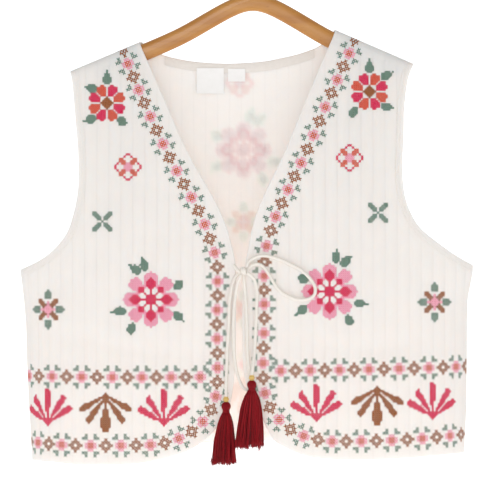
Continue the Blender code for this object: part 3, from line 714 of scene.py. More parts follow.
def rimLoops(shape):
    # the edges of the flat piece as loops of vertex numbers, with the cloth on the left
    after = {}
    for edge in shape.edges:
        if edge.is_boundary:
            corner = edge.link_loops[0]
            after[corner.vert.index] = corner.link_loop_next.vert.index
    loops = []
    while after:
        start = next(iter(after))
        loop = [start]
        place = after.pop(start)
        while place != start:
            loop.append(place)
            place = after.pop(place)
        loops.append(loop)
    return loops


panels = {}
flatSizes = {"front": (0.300, 0.500), "back": (0.600, 0.510)}     # the cloth that each is cut from
rimTurns = (30, 60, 90, 120, 150)     # steps in degrees round the cloth's edge


def makePanel(name, outline, face, flatSize, finishes):
    loop = turnSides(outline, face, True)
    across = cut["channel"] / cut["sliceAcross"]
    shape = slicedPiece(insetLoop(loop, cut["rimInset"]), across, cut["sliceUp"])
    flat = np.array([(v.co.x, v.co.z) for v in shape.verts])
    x, z = toFront(flat, face)
    fromEdge = edgeDistance(flat, loop)
    inner = cloth(x, z, face, np.zeros(len(x)))
    outer = cloth(x, z, face, wallHeight(flat[:, 0], fromEdge))

    # the flat piece's faces look along one way of y, and the front's outer face is the one towards -Y
    count = len(flat)
    flip = face == "front"
    outward, inward = [], []
    for f in shape.faces:
        corners = [v.index for v in f.verts]
        if (f.normal.y < 0) != flip:
            corners.reverse()
        outward.append([k + count for k in corners])
        inward.append(corners[::-1])
    points = [inner, outer]
    uvs = [flat, flat]
    rim = []
    base = 2 * count
    for ring in rimLoops(shape):
        ring = np.array(ring)
        low, high = inner[ring], outer[ring]
        along = np.roll(high, -1, axis=0) - np.roll(high, 1, axis=0)
        up = high - low
        out = np.cross(along, up)
        out /= np.linalg.norm(out, axis=1, keepdims=True) + 1e-12
        spread = np.roll(flat[ring], -1, axis=0) - np.roll(flat[ring], 1, axis=0)
        flatOut = np.column_stack([spread[:, 1], -spread[:, 0]])
        area = (flat[ring][:, 0] * np.roll(flat[ring][:, 1], -1)
                - np.roll(flat[ring][:, 0], -1) * flat[ring][:, 1]).sum()
        out *= np.sign((out[:, [0, 2]] * flatOut).sum() * np.sign(area))
        half = np.linalg.norm(up, axis=1, keepdims=True) / 2
        loops = [ring]
        for turn in rimTurns:
            a = math.radians(turn)
            points.append((low + high) / 2 - up / 2 * math.cos(a) + out * half * math.sin(a))
            uvs.append(flat[ring])
            loops.append(np.arange(base, base + len(ring)))
            base += len(ring)
        loops.append(ring + count)
        for lower, upper in zip(loops, loops[1:]):
            for k in range(len(ring)):
                j = (k + 1) % len(ring)
                rim.append([int(lower[k]), int(lower[j]), int(upper[j]), int(upper[k])])
    shape.free()
    piece = addPiece(name, np.vstack(points), outward + rim + inward, finishes, np.vstack(uvs))
    inside = np.zeros(len(piece.data.polygons), np.int32)
    inside[len(outward) + len(rim):] = 1
    piece.data.polygons.foreach_set("material_index", inside)
    mended = bmesh.new()
    mended.from_mesh(piece.data)
    bmesh.ops.recalc_face_normals(mended, faces=mended.faces)
    mended.to_mesh(piece.data)
    mended.free()
    area = sum(p.area for p in piece.data.polygons) / 2
    panels[name] = {"loop": loop, "face": face, "piece": piece, "area": area, "flat": flatSize,
                    "count": count, "withPieces": []}
    return piece


cottonOut = makeCloth("quilted_cotton", clothLook["outside"], cut["channel"], False)
cottonIn = makeCloth("quilted_cotton_inside", clothLook["inside"], cut["channel"], True)
for side in ("left", "right"):
    piece = makePanel(f"cloth_front_{side}", frontOutline(side), "front", flatSizes["front"],
                      (cottonOut, cottonIn))
    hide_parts(f"front_{side}")
piece = makePanel("cloth_back", backOutline(), "back", flatSizes["back"], (cottonOut, cottonIn))
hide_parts("back")
print("quilted panels made")


# Embroidery. A strand is a low ridge of floss from one hole in the cloth to another
strand = {
    "share": (0.07, 0.50, 0.93),
    "under": (0.75, 1.00, 0.75),
    "over": (0.85, 1.65, 0.85),
    "sunk": 0.00004,
}
strandFaces = [(0, 1, 2), (0, 2, 3), (0, 3, 1), (1, 4, 5, 2), (2, 5, 6, 3), (3, 6, 4, 1),
               (4, 7, 8, 5), (5, 8, 9, 6), (6, 9, 7, 4), (10, 8, 7), (10, 9, 8), (10, 7, 9)]


def addStrands(name, panel, starts, ends, half, high, heights, finish):
    # starts and ends are places on the flat cut piece; half and high are the floss's half width and height
    starts, ends = np.asarray(starts, float), np.asarray(ends, float)
    way = ends - starts
    side = np.column_stack([-way[:, 1], way[:, 0]]) / np.linalg.norm(way, axis=1, keepdims=True)
    places, lifts = [starts], [np.full(len(starts), strand["sunk"])]
    for share, lift in zip(strand["share"], heights):
        middle = starts + way * share
        for offset, rise in ((-half, strand["sunk"]), (0, high * lift), (half, strand["sunk"])):
            places.append(middle + side * offset)
            lifts.append(np.full(len(starts), rise))
    places.append(ends)
    lifts.append(np.full(len(starts), strand["sunk"]))
    places = np.stack(places, 1).reshape(-1, 2)
    lifts = np.stack(lifts, 1).ravel()
    face = panels[panel]["face"]
    fromEdge = edgeDistance(places, panels[panel]["loop"])
    x, z = toFront(places, face)
    points = cloth(x, z, face, wallHeight(places[:, 0], fromEdge) + lifts)
    faces = [[k * 11 + c for c in corners] for k in range(len(starts)) for corners in strandFaces]
    if face == "front":
        faces = [corners[::-1] for corners in faces]
    made = addPiece(name, points, faces, [finish])
    panels[panel]["withPieces"].append(made)


# Small repeats are charted in stitches, p pink, r orange-red, b brown, g green, c crimson
chartThreads = {"p": "pink", "r": "orange", "b": "brown", "g": "green", "c": "crimson"}
charts = {
    "rose": {"pitch": 0.00338, "rows": (
        " g  g ", "gg  gg", "  pp  ", " prrp ", " prrp ", "  pp  ", "gg  gg", " g  g ")},
    "lozenge": {"pitch": 0.00338, "rows": ("  b  ", " bbb ", "bb bb", " bbb ", "  b  ")},
    "rosette": {"pitch": 0.00264, "rows": (
        "     cc     ", "    c  c    ", "  rr    rr  ", "  rrr  rrr  ", " c rrpprr c ", "c   pppp   c",
        "c   pppp   c", " c rrpprr c ", "  rrr  rrr  ", "  rr    rr  ", "    c  c    ", "     cc     ")},
    "leafCross": {"pitch": 0.00256, "rows": (
        "gg     gg", "ggg   ggg", " ggg ggg ", "  gg gg  ", "    g    ",
        "  gg gg  ", " ggg ggg ", "ggg   ggg", "gg     gg")},
    "star": {"pitch": 0.00273, "rows": (
        "        g        ", "       ggg       ", "       ggg       ", "       ggg       ",
        "    bb     bb    ", "    bbb p bbb    ", "     bbbpbbb     ", "  ggg bpppb ggg  ",
        " ggggpppppppgggg ",
        "  ggg bpppb ggg  ", "     bbbpbbb     ", "    bbb p bbb    ", "    bb     bb    ",
        "       ggg       ", "       ggg       ", "       ggg       ", "        g        ")},
}


# Shapes of the larger motifs, in stitches from a motif's middle
petalShape = {"from": 3.6, "widens": 0.41, "less": 0.3, "roundAt": 7.0, "roundSquare": 7.8, "roundFrom": 5.9}
leafShape = {"long": 3.1, "wide": 2.35, "stalkStart": 0.75, "stalkEnd": 0.55}


def oval(thread, x, y, long, wide, turn=0.0):
    c, s = math.cos(math.radians(turn)), math.sin(math.radians(turn))

    def inside(a, b):
        return (((a - x) * c + (b - y) * s) / long) ** 2 + ((-(a - x) * s + (b - y) * c) / wide) ** 2 <= 1

    return thread, inside


def petal(thread, turn):
    # pointed towards the middle and round at its far end
    c, s = math.cos(math.radians(turn)), math.sin(math.radians(turn))

    def inside(a, b):
        along, across = a * c + b * s, np.abs(b * c - a * s)
        end = (along - petalShape["roundAt"]) ** 2 + across ** 2 <= petalShape["roundSquare"]
        wedge = across <= petalShape["widens"] * along - petalShape["less"]
        return (along > petalShape["from"]) & wedge & (end | (along < petalShape["roundFrom"]))

    return thread, inside


def lozenge(thread, x, y, half):
    return thread, lambda a, b: np.abs(a - x) + np.abs(b - y) <= half


def ray(thread, x0, y0, x1, y1, wideStart, wideEnd):
    # a leaf or a line from one point to another, wider towards its end
    length = math.hypot(x1 - x0, y1 - y0)
    c, s = (x1 - x0) / length, (y1 - y0) / length

    def inside(a, b):
        along = (a - x0) * c + (b - y0) * s
        across = np.abs(-(a - x0) * s + (b - y0) * c)
        half = wideStart + (wideEnd - wideStart) * np.clip((along / length - 0.25) / 0.45, 0, 1)
        left = np.maximum(along - (length - wideEnd), 0) * 0.9
        reach = np.sqrt(np.maximum(half ** 2 - left ** 2, 0))
        return (along >= -wideStart) & (along <= length) & (across <= reach)

    return thread, inside


def ring(count, first, reach, long, wide, thread):
    shapes = []
    for k in range(count):
        turn = first + 360 / count * k
        x, y = reach * math.cos(math.radians(turn)), reach * math.sin(math.radians(turn))
        shapes.append(oval(thread, x, y, long, wide, turn))
    return shapes


def rays(count, first, far, half, thread):
    shapes = []
    for k in range(count):
        turn = math.radians(first + 360 / count * k)
        shapes.append(ray(thread, 0, 0, far * math.cos(turn), far * math.sin(turn), half, half))
    return shapes


def leaf(x, y, turn, stalk=0.0):
    # in stitches of the leaves, from the flower's middle
    shapes = [oval("green", x, y, leafShape["long"], leafShape["wide"], turn)]
    if stalk:
        c, s = math.cos(math.radians(turn)), math.sin(math.radians(turn))
        shapes.append(ray("green", x, y, x + stalk * c, y + stalk * s, leafShape["stalkStart"],
                          leafShape["stalkEnd"]))
    return shapes


def eightPetals(first, second):
    return [*[petal(thread, 67.5 - 45 * k) for k, thread in enumerate((first, second) * 4)],
            lozenge("brown", 0, 0, 3)]


motifs = {
    "bigFlower": {"pitch": 0.00226, "shapes": [
        *ring(4, 0, 9.1, 4.9, 3.8, "pink"), *ring(4, 45, 10.9, 3.5, 3.5, "pink"),
        *ring(4, 45, 8.0, 2.8, 2.8, "pink"), oval(None, 0, 0, 6.4, 6.4),
        *ring(8, 22.5, 11.6, 2.0, 0.5, None),
        *ring(4, 0, 7.9, 3.1, 2.5, "crimson"), *ring(4, 45, 7.1, 1.6, 1.6, "crimson"),
        *rays(4, 0, 6.5, 0.6, "crimson"), *rays(4, 45, 6.5, 0.45, "crimson"),
        lozenge("crimson", 0, 0, 3)]},
    "eightPetalsLeft": {"pitch": 0.00222, "shapes": eightPetals("crimson", "orange")},
    "eightPetalsRight": {"pitch": 0.00222, "shapes": eightPetals("orange", "crimson")},
    "plantUp": {"pitch": 0.0024, "shapes": [
        ray("crimson", 0, 0, -0.2, 16.2, 0.7, 1.6), ray("crimson", 0, 0, -8.2, 12.8, 0.7, 1.4),
        ray("crimson", 0, 0, 8.4, 12.9, 0.7, 1.4), ray("crimson", 0, 0, -12.0, 7.3, 0.7, 1.5),
        ray("crimson", 0, 0, 12.0, 8.0, 0.7, 1.5), lozenge("crimson", 0, 0.5, 2)]},
    "plantDown": {"pitch": 0.0024, "shapes": [
        ray("brown", 0, -1, 0, -10.5, 0.6, 1.1), oval("brown", 0, -13.2, 4.2, 2.5, 90),
        ray("brown", 0, 0, -12.6, -7.0, 0.7, 1.45), ray("brown", 0, 0, 12.6, -7.0, 0.7, 1.45),
        ray("brown", 0, -1, -8.9, -12.7, 0.7, 1.4), ray("brown", 0, -1, 8.9, -12.7, 0.7, 1.4),
        lozenge("brown", 0, -0.8, 2)]},
    "leavesEightLeft": {"pitch": 0.0021, "shapes": [
        *leaf(0, 13.3, 90, 5.0), *leaf(-8.3, 8.0, 168, 4.6), *leaf(-8.6, -8.9, 195, 4.6),
        *leaf(8.4, -10.2, -45)]},
    "leavesEightRight": {"pitch": 0.0021, "shapes": [
        *leaf(0, 13.3, 90, 5.0), *leaf(9.2, 8.9, 25, 4.6), *leaf(9.2, -8.4, -12, 4.6),
        *leaf(-8.9, -11.4, 225)]},
    "leavesBigLeft": {"pitch": 0.0021, "shapes": [
        *leaf(-8.2, 16.4, 145, 5.0), *leaf(-3.6, 18.8, 105, 5.0), *leaf(15.2, 8.0, 45),
        *leaf(15.0, -9.2, -42, 5.4), *leaf(-10.6, -16.0, 68), *leaf(-16.9, -6.3, 185, 5.2)]},
    "leavesBigRight": {"pitch": 0.0021, "shapes": [
        *leaf(3.4, 18.8, 80, 5.0), *leaf(8.6, 16.4, 40, 5.0), *leaf(16.6, -6.4, -5, 5.4),
        *leaf(10.6, -15.9, -62), *leaf(-15.0, -10.0, 218, 5.2), *leaf(-14.6, 6.9, 135)]},
}


def stitchMotif(name):
    # the motif's crosses as columns, rows and threads, and their pitch
    if name in charts:
        chart = charts[name]["rows"]
        found = [(c - (len(line) - 1) / 2, (len(chart) - 1) / 2 - r, chartThreads[mark])
                 for r, line in enumerate(chart) for c, mark in enumerate(line) if mark != " "]
        return found, charts[name]["pitch"]
    a, b = np.meshgrid(np.arange(-24, 25), np.arange(-24, 25))
    threads = np.full(a.shape, None, object)
    for thread, inside in motifs[name]["shapes"]:
        threads[inside(a, b)] = thread
    found = [(i, j, thread) for i, j, thread in zip(a.ravel(), b.ravel(), threads.ravel()) if thread]
    return found, motifs[name]["pitch"]


# Points that each border passes, and which motif of its row is there
border = {
    "frontLeft": {
        "motif": (0, 4, 8, 12, 14, 16, 20, 24, 26, 28, 30, 32, 36, 40),
        "x": (-0.1514, -0.1259, -0.0965, -0.0631, -0.0501, -0.0415, -0.0418, -0.0415, -0.0483, -0.0708,
              -0.1016, -0.1347, -0.2044, -0.2587),
        "z": (-0.1435, -0.2046, -0.2678, -0.3293, -0.3616, -0.3943, -0.4608, -0.5272, -0.5592, -0.5843,
              -0.5974, -0.6002, -0.6005, -0.5974),
    },
    "frontRight": {
        "motif": (0, 4, 8, 12, 14, 16, 20, 24, 26, 28, 30, 32, 36, 40),
        "x": (0.1187, 0.0907, 0.0630, 0.0331, 0.0206, 0.0133, 0.0129, 0.0121, 0.0196, 0.0436, 0.0747,
              0.1072, 0.1775, 0.2395),
        "z": (-0.1311, -0.1930, -0.2580, -0.3207, -0.3524, -0.3885, -0.4533, -0.5222, -0.5562, -0.5822,
              -0.5939, -0.5957, -0.5936, -0.5888),
    },
    "upperLeft": {
        "motif": (0, 5, 12), "x": (-0.0611, -0.1450, -0.2581), "z": (-0.5215, -0.5218, -0.5208)},
    "upperRight": {
        "motif": (0, 6, 13), "x": (0.0319, 0.1342, 0.2450), "z": (-0.5143, -0.5127, -0.5098)},
    "backHem": {
        "motif": (-16, -8, 0, 8, 16), "x": (-0.2540, -0.1450, -0.0100, 0.1250, 0.2380),
        "z": (-0.5990, -0.5900, -0.5805, -0.5860, -0.5915)},
    "backUpper": {
        "motif": (-16, -8, 0, 8, 16), "x": (-0.2580, -0.1450, -0.0100, 0.1250, 0.2420),
        "z": (-0.5130, -0.5110, -0.5090, -0.5080, -0.5060)},
}
# Which panel a border is on, and whether its even motifs are lozenges or roses
borderRuns = {
    "panel": ("cloth_front_left", "cloth_front_right", "cloth_front_left", "cloth_front_right",
              "cloth_back", "cloth_back"),
    "line": ("frontLeft", "frontRight", "upperLeft", "upperRight", "backHem", "backUpper"),
    "even": ("lozenge", "lozenge", "rose", "rose", "lozenge", "rose"),
}
# Single motifs: panel, motif, and the middle's place across the front
placed = {
    "cloth_front_left": {
        "motif": ("eightPetalsLeft", "leavesEightLeft", "rosette", "leafCross", "bigFlower",
                  "leavesBigLeft", "star", "plantUp", "plantUp", "plantDown"),
        "x": (-0.1694, -0.1694, -0.1447, -0.1742, -0.1180, -0.1180, -0.2363, -0.2361, -0.1029, -0.1703),
        "z": (-0.2046, -0.2046, -0.2789, -0.3419, -0.4320, -0.4320, -0.4435, -0.5749, -0.5749, -0.5431),
    },
    "cloth_front_right": {
        "motif": ("eightPetalsRight", "leavesEightRight", "rosette", "leafCross", "bigFlower",
                  "leavesBigRight", "star", "plantUp", "plantUp", "plantDown"),
        "x": (0.1350, 0.1350, 0.1117, 0.1445, 0.0885, 0.0885, 0.2094, 0.0732, 0.2069, 0.1435),
        "z": (-0.1913, -0.1913, -0.2683, -0.3318, -0.4227, -0.4227, -0.4350, -0.5694, -0.5674, -0.5353),
    },
    "cloth_back": {
        "motif": ("rosette", "bigFlower", "leavesBigLeft", "eightPetalsLeft", "leavesEightLeft",
                  "eightPetalsRight", "leavesEightRight", "leafCross", "leafCross", "rosette",
                  "star", "rosette", "bigFlower", "leavesBigLeft", "bigFlower", "leavesBigRight",
                  "star", "leafCross", "leafCross", "star", "star", "plantUp", "plantDown",
                  "plantUp", "plantDown", "plantUp", "plantDown", "plantUp"),
        "x": (-0.0157, -0.0111, -0.0111, -0.1350, -0.1350,
              0.1080, 0.1080, -0.1650, 0.1380, -0.0780,
              -0.0111, 0.0540, -0.1450, -0.1450, 0.1200, 0.1200,
              -0.0111, -0.0700, 0.0480, -0.2320, 0.2080, -0.2200, -0.1480,
              -0.0800, -0.0111, 0.0580, 0.1260, 0.1980),
        "z": (-0.1800, -0.2580, -0.2580, -0.2380, -0.2380,
              -0.2340, -0.2340, -0.3330, -0.3300, -0.3420,
              -0.3420, -0.3420, -0.4200, -0.4200, -0.4160, -0.4160,
              -0.4450, -0.4450, -0.4450, -0.4460, -0.4400, -0.5660, -0.5310,
              -0.5640, -0.5290, -0.5620, -0.5290, -0.5600),
    },
}
floss = {
    "half": 0.00049,         # half width and height of a strand
    "high": 0.00018,
    "reach": 0.51,           # of the pitch, from a cross's middle to its corners
    "fromEdge": 0.0030,      # nothing is stitched nearer to the cut edge
    "directionFrom": 0.012,  # a border's direction is read between points this far to either side
}


def borderPlaces(line, face):
    # middles and directions of a border's motifs on the flat cut piece
    points = rows(border[line], "x", "z")
    route = turnSides(smoothLine(points, 0.001), face, True)
    along = lengthsAlong(route)
    marks = turnSides(points, face, True)
    at = [along[np.argmin(np.linalg.norm(route - mark, axis=1))] for mark in marks]
    numbers = np.arange(border[line]["motif"][0], border[line]["motif"][-1] + 1)
    for number, middle in zip(numbers, np.interp(numbers, border[line]["motif"], at)):
        reach = middle + floss["directionFrom"] * np.array([-1, 0, 1])
        before, spot, after = np.column_stack([np.interp(reach, along, column) for column in route.T])
        yield number, spot, (after - before) / np.linalg.norm(after - before)


def gatherCrosses(panel):
    # middles, stitch axes, pitches and threads of all the crosses on a panel, on the flat cut piece
    face = panels[panel]["face"]
    mirror = -1 if face == "back" else 1
    found = []
    spots = placed[panel]
    for name, x, z in zip(spots["motif"], spots["x"], spots["z"]):
        crosses, pitch = stitchMotif(name)
        middle = turnSides([(x, z)], face, True)[0]
        found += [(middle[0] + mirror * i * pitch, middle[1] + j * pitch, 1.0, 0.0, pitch, thread)
                  for i, j, thread in crosses]
    for owner, line, even in zip(*borderRuns.values()):
        if owner != panel:
            continue
        for number, spot, way in borderPlaces(line, face):
            name = even if number % 2 == 0 else {"rose": "lozenge", "lozenge": "rose"}[even]
            crosses, pitch = stitchMotif(name)
            found += [(spot[0] + pitch * (i * way[0] - j * way[1]),
                       spot[1] + pitch * (i * way[1] + j * way[0]),
                       way[0], way[1], pitch, thread) for i, j, thread in crosses]
    places = np.array([row[:5] for row in found])
    threads = np.array([row[5] for row in found])
    keep = insideLoop(places[:, :2], panels[panel]["loop"])
    keep &= edgeDistance(places[:, :2], panels[panel]["loop"]) > floss["fromEdge"]
    return places[keep], threads[keep]


flossFinishes = {name: makeThread(name) for name in threadLook}
for panel in panels:
    places, threads = gatherCrosses(panel)
    panels[panel]["crosses"] = (places, threads)
    for name in sorted(set(threads)):
        spots = places[threads == name]
        middle, axis, pitch = spots[:, :2], spots[:, 2:4], spots[:, 4:5]
        across = np.column_stack([-axis[:, 1], axis[:, 0]])
        short = panel.replace("cloth_", "")
        for layer, way in (("under", axis + across), ("over", axis - across)):
            reach = way * pitch * floss["reach"]
            addStrands(f"stitches_{short}_{name}_{layer}", panel, middle - reach, middle + reach,
                       floss["half"], floss["high"], strand[layer], flossFinishes[name])
    print(panel, len(places), "crosses")


# The embroidery shows faintly through to the cloth's inner face, as painted light: the threads' colours are
# painted into the inner face
showThrough = {"strength": 0.13, "reach": 0.0024}


def tintInside(panel):
    data = panels[panel]
    places, threads = data["crosses"]
    mesh = data["piece"].data
    layer = mesh.attributes.new("showThrough", "FLOAT_COLOR", "POINT")
    tint = np.ones((len(mesh.vertices), 4), np.float32)
    corners = np.empty(len(mesh.loops), np.int32)
    mesh.loops.foreach_get("vertex_index", corners)
    uvs = np.empty(2 * len(mesh.loops), np.float32)
    mesh.uv_layers["cut"].data.foreach_get("uv", uvs)
    flat = np.zeros((len(mesh.vertices), 2))
    flat[corners] = uvs.reshape(-1, 2)
    for name in set(threads):
        middles = places[threads == name][:, :2]
        colour = np.array(threadLook[name])
        colour = colour / colour.max()
        density = np.zeros(data["count"])
        for k in range(0, len(middles), 200):
            apart = flat[:data["count"], None] - middles[None, k:k + 200]
            density += np.exp(-(apart ** 2).sum(2) / showThrough["reach"] ** 2).sum(1)
        share = showThrough["strength"] * np.clip(density, 0, 1)[:, None]
        tint[:data["count"], :3] *= 1 - share + share * colour
    layer.data.foreach_set("color", tint.ravel())


for panel in panels:
    tintInside(panel)
print("embroidery made")


# Topstitching along the faced edges
topstitch = {
    "long": 0.0027,
    "gap": 0.0009,
    "half": 0.00026,
    "high": 0.00022,
    "rise": (0.9, 1.0, 0.9),
    "endClear": 0.004,
    "armhole": (0.0046, 0.0081),     # rows, from the cut edge
    "opening": (0.0024, 0.0078),
    "hem": (0.0070,),
    "neck": (0.0090,),
}


def sewLine(line, face, offset, turn):
    # stitches along a line of the outline, moved in by the offset
    flat = turnSides(line, face, True)
    tangent = np.gradient(flat, axis=0)
    tangent /= np.linalg.norm(tangent, axis=1, keepdims=True) + 1e-12
    moved = flat + turn * offset * np.column_stack([-tangent[:, 1], tangent[:, 0]])
    along = lengthsAlong(moved)
    clear = topstitch["endClear"]
    starts = np.arange(clear, along[-1] - clear, topstitch["long"] + topstitch["gap"])
    return [np.column_stack([np.interp(starts + extra, along, column) for column in moved.T])
            for extra in (0, topstitch["long"])]


def sewPanel(panel, lines):
    starts, ends = [], []
    for line, offsets, turn in lines:
        for offset in offsets:
            first, second = sewLine(line, panels[panel]["face"], offset, turn)
            starts.append(first)
            ends.append(second)
    starts, ends = np.vstack(starts), np.vstack(ends)
    keep = insideLoop((starts + ends) / 2, panels[panel]["loop"])
    addStrands(f"topstitch_{panel.replace('cloth_', '')}", panel, starts[keep], ends[keep],
               topstitch["half"], topstitch["high"], topstitch["rise"], flossFinishes["white"])


for side, turn in (("left", 1), ("right", -1)):
    sewPanel(f"cloth_front_{side}", [(armholeLine(side), topstitch["armhole"], turn),
                                     (openingLine(side), topstitch["opening"], turn)])
sewPanel("cloth_back", [(armholeLine("left"), topstitch["armhole"], 1),
                        (armholeLine("right"), topstitch["armhole"], -1),
                        (hemLine(), topstitch["hem"], -1), (neckLine(), topstitch["neck"], -1)])
print("topstitching made")


# Facing tape and bare labels inside the back
tape = {"long": 0.190, "wide": 0.0105, "wall": 0.0010, "edge": 0.0003, "fromX": -0.1040, "toX": 0.0740}
labels = {
    "large": {
        "x": -0.0500, "top": -0.1620, "width": 0.0317, "height": 0.0294, "wall": 0.0007, "bow": 0.0016},
    "small": {
        "x": -0.0191, "top": -0.1628, "width": 0.0202, "height": 0.0148, "wall": 0.0006, "bow": 0.0009},
}


def addStrip(name, near, far, uvs, finish):
    # a closed thin wall between two grids of points
    high, wide = near.shape[:2]
    count = high * wide
    faces = []
    for r in range(high - 1):
        for c in range(wide - 1):
            a = r * wide + c
            faces.append([a, a + 1, a + wide + 1, a + wide])
            faces.append([a + count + wide, a + count + wide + 1, a + count + 1, a + count])
    edge = ([(0, c) for c in range(wide)] + [(r, wide - 1) for r in range(1, high)]
            + [(high - 1, c) for c in range(wide - 2, -1, -1)] + [(r, 0) for r in range(high - 2, 0, -1)])
    edge = [r * wide + c for r, c in edge]
    for a, b in zip(edge, edge[1:] + edge[:1]):
        faces.append([b, a, a + count, b + count])
    made = addPiece(name, np.vstack([near.reshape(-1, 3), far.reshape(-1, 3)]), faces, [finish],
                    np.vstack([uvs.reshape(-1, 2)] * 2))
    shape = bmesh.new()
    shape.from_mesh(made.data)
    bmesh.ops.recalc_face_normals(shape, faces=shape.faces)
    shape.to_mesh(made.data)
    shape.free()
    made.data.set_sharp_from_angle(angle=math.radians(50))
    return made


facingFinish = makeTapeFinish("facing_cotton", facingLook)
labelFinish = makeTapeFinish("label_satin", labelLook)
line = np.array([p for p in neckLine() if tape["fromX"] < p[0] < tape["toX"]])
down = np.linspace(0, 1, 8)[:, None]
x = np.repeat(line[None, :, 0], 8, axis=0)
z = line[None, :, 1] - cut["seamGap"] - down * tape["wide"]
crown = np.sin(math.pi * np.clip(down, 0.02, 0.98)) ** 0.4 * tape["wall"] * np.ones_like(x)
near = cloth(x, z, "back", -cut["seamGap"] * np.ones_like(x))
far = cloth(x, z, "back", -cut["seamGap"] - np.maximum(crown, tape["edge"]))
facing = addStrip("facing_tape", near, far, np.stack([x, z], -1), facingFinish)
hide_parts("neck_facing")

for name, size in labels.items():
    across = np.linspace(-0.5, 0.5, 13)
    down = np.linspace(0, 1, 13)[:, None]
    x = size["x"] + size["width"] * across[None, :] + 0 * down
    z = size["top"] - size["height"] * down + 0 * across[None, :]
    off = -2 * cut["seamGap"] - tape["wall"] - size["bow"] * down ** 1.6 * (1 + 0.35 * np.cos(2.4 * across))
    near = cloth(x, z, "back", off)
    far = cloth(x, z, "back", off - size["wall"])
    label = addStrip(f"label_{name}_tape", near, far, np.stack([x, z], -1), labelFinish)
    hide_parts(f"label_{name}")
print("facing and labels made")


# Tie. A cord's middle lies onCloth off the crests, and more where start or end says so
tie = {
    "radius": 0.0020,
    "onCloth": 0.0025,
    "startFade": 0.026,
    "endFade": 0.036,
    "twist": 0.0240,         # one turn of the ribs
    "step": 0.0008,          # between sections of a cord
    "knot": {"x": -0.0114, "z": -0.3990, "halfZ": 0.0042, "halfY": 0.0046},
    "wound": {"turns": (-0.3, 2.15), "x": (-0.0032, 0.0030), "radius": 0.0019, "step": 0.0007,
              "lessY": 0.0019, "lessZ": 0.0014},
    "stub": {"x": -0.0226, "z": -0.3922},
}
tieRoutes = {
    "loop_right": {
        "x": (-0.0077, -0.0048, 0.0023, 0.0104, 0.0189, 0.0305, 0.0429, 0.0553, 0.0638, 0.0696, 0.0719,
              0.0711, 0.0661, 0.0580, 0.0495, 0.0413, 0.0329, 0.0263, 0.0213, 0.0162, 0.0104, 0.0040,
              -0.0016, -0.0062),
        "z": (-0.3947, -0.3882, -0.3834, -0.3814, -0.3823, -0.3855, -0.3913, -0.3979, -0.4053, -0.4130,
              -0.4195, -0.4261, -0.4304, -0.4322, -0.4315, -0.4285, -0.4234, -0.4161, -0.4079, -0.3995,
              -0.3930, -0.3911, -0.3927, -0.3970),
        "start": 0.0069, "end": 0.0025,
    },
    "loop_hanging": {
        "x": (-0.0138, -0.0153, -0.0176, -0.0196, -0.0215, -0.0227, -0.0223, -0.0216, -0.0190, -0.0151,
              -0.0104, -0.0060, -0.0035, -0.0038, -0.0052, -0.0066, -0.0072, -0.0080, -0.0092, -0.0106,
              -0.0111),
        "z": (-0.4033, -0.4070, -0.4130, -0.4230, -0.4380, -0.4570, -0.4791, -0.4953, -0.5145, -0.5266,
              -0.5345, -0.5358, -0.5290, -0.5180, -0.5058, -0.4849, -0.4600, -0.4400, -0.4220, -0.4110,
              -0.4031),
        "start": 0.0069, "end": 0.0025,
    },
    "tail_left": {
        "x": (-0.0157, -0.0198, -0.0229, -0.0254, -0.0272, -0.0279, -0.0289, -0.0298, -0.0305, -0.0310),
        "z": (-0.4015, -0.4054, -0.4120, -0.4222, -0.4360, -0.4570, -0.4780, -0.4994, -0.5208, -0.5436),
        "start": 0.0025, "end": 0.0060,
    },
    "tail_right": {
        "x": (-0.0066, -0.0020, 0.0019, 0.0038, 0.0046, 0.0044, 0.0037, 0.0030, 0.0024, 0.0014,
              0.0000, -0.0010),
        "z": (-0.4013, -0.4043, -0.4100, -0.4169, -0.4257, -0.4373, -0.4559, -0.4704, -0.4849, -0.4994,
              -0.5110, -0.5188),
        "start": 0.0069, "end": 0.0096,
    },
}
cordFinish = makeCordFinish()


def frontFace(x, z, off):
    return cloth(x, z, "front", cut["wallCrest"] + np.asarray(off))


def fade(share):
    return (1 + np.cos(math.pi * np.clip(share, 0, 1))) / 2


def tieLine(name):
    size = tieRoutes[name]
    line = smoothLine(rows(size, "x", "z"), tie["step"])
    along = lengthsAlong(line)
    off = (tie["onCloth"] + (size["start"] - tie["onCloth"]) * fade(along / tie["startFade"])
           + (size["end"] - tie["onCloth"]) * fade((along[-1] - along) / tie["endFade"]))
    return frontFace(line[:, 0], line[:, 1], off)


def frames(route):
    # a pair of directions square to the route, carried along it without twist
    tangent = np.gradient(route, axis=0)
    tangent /= np.linalg.norm(tangent, axis=1, keepdims=True)
    first = np.cross(tangent[0], (0.3, 1.0, 0.2))
    sides = []
    for way in tangent:
        first = first - way * first.dot(way)
        first /= np.linalg.norm(first)
        sides.append((first, np.cross(way, first)))
    return np.array(sides)


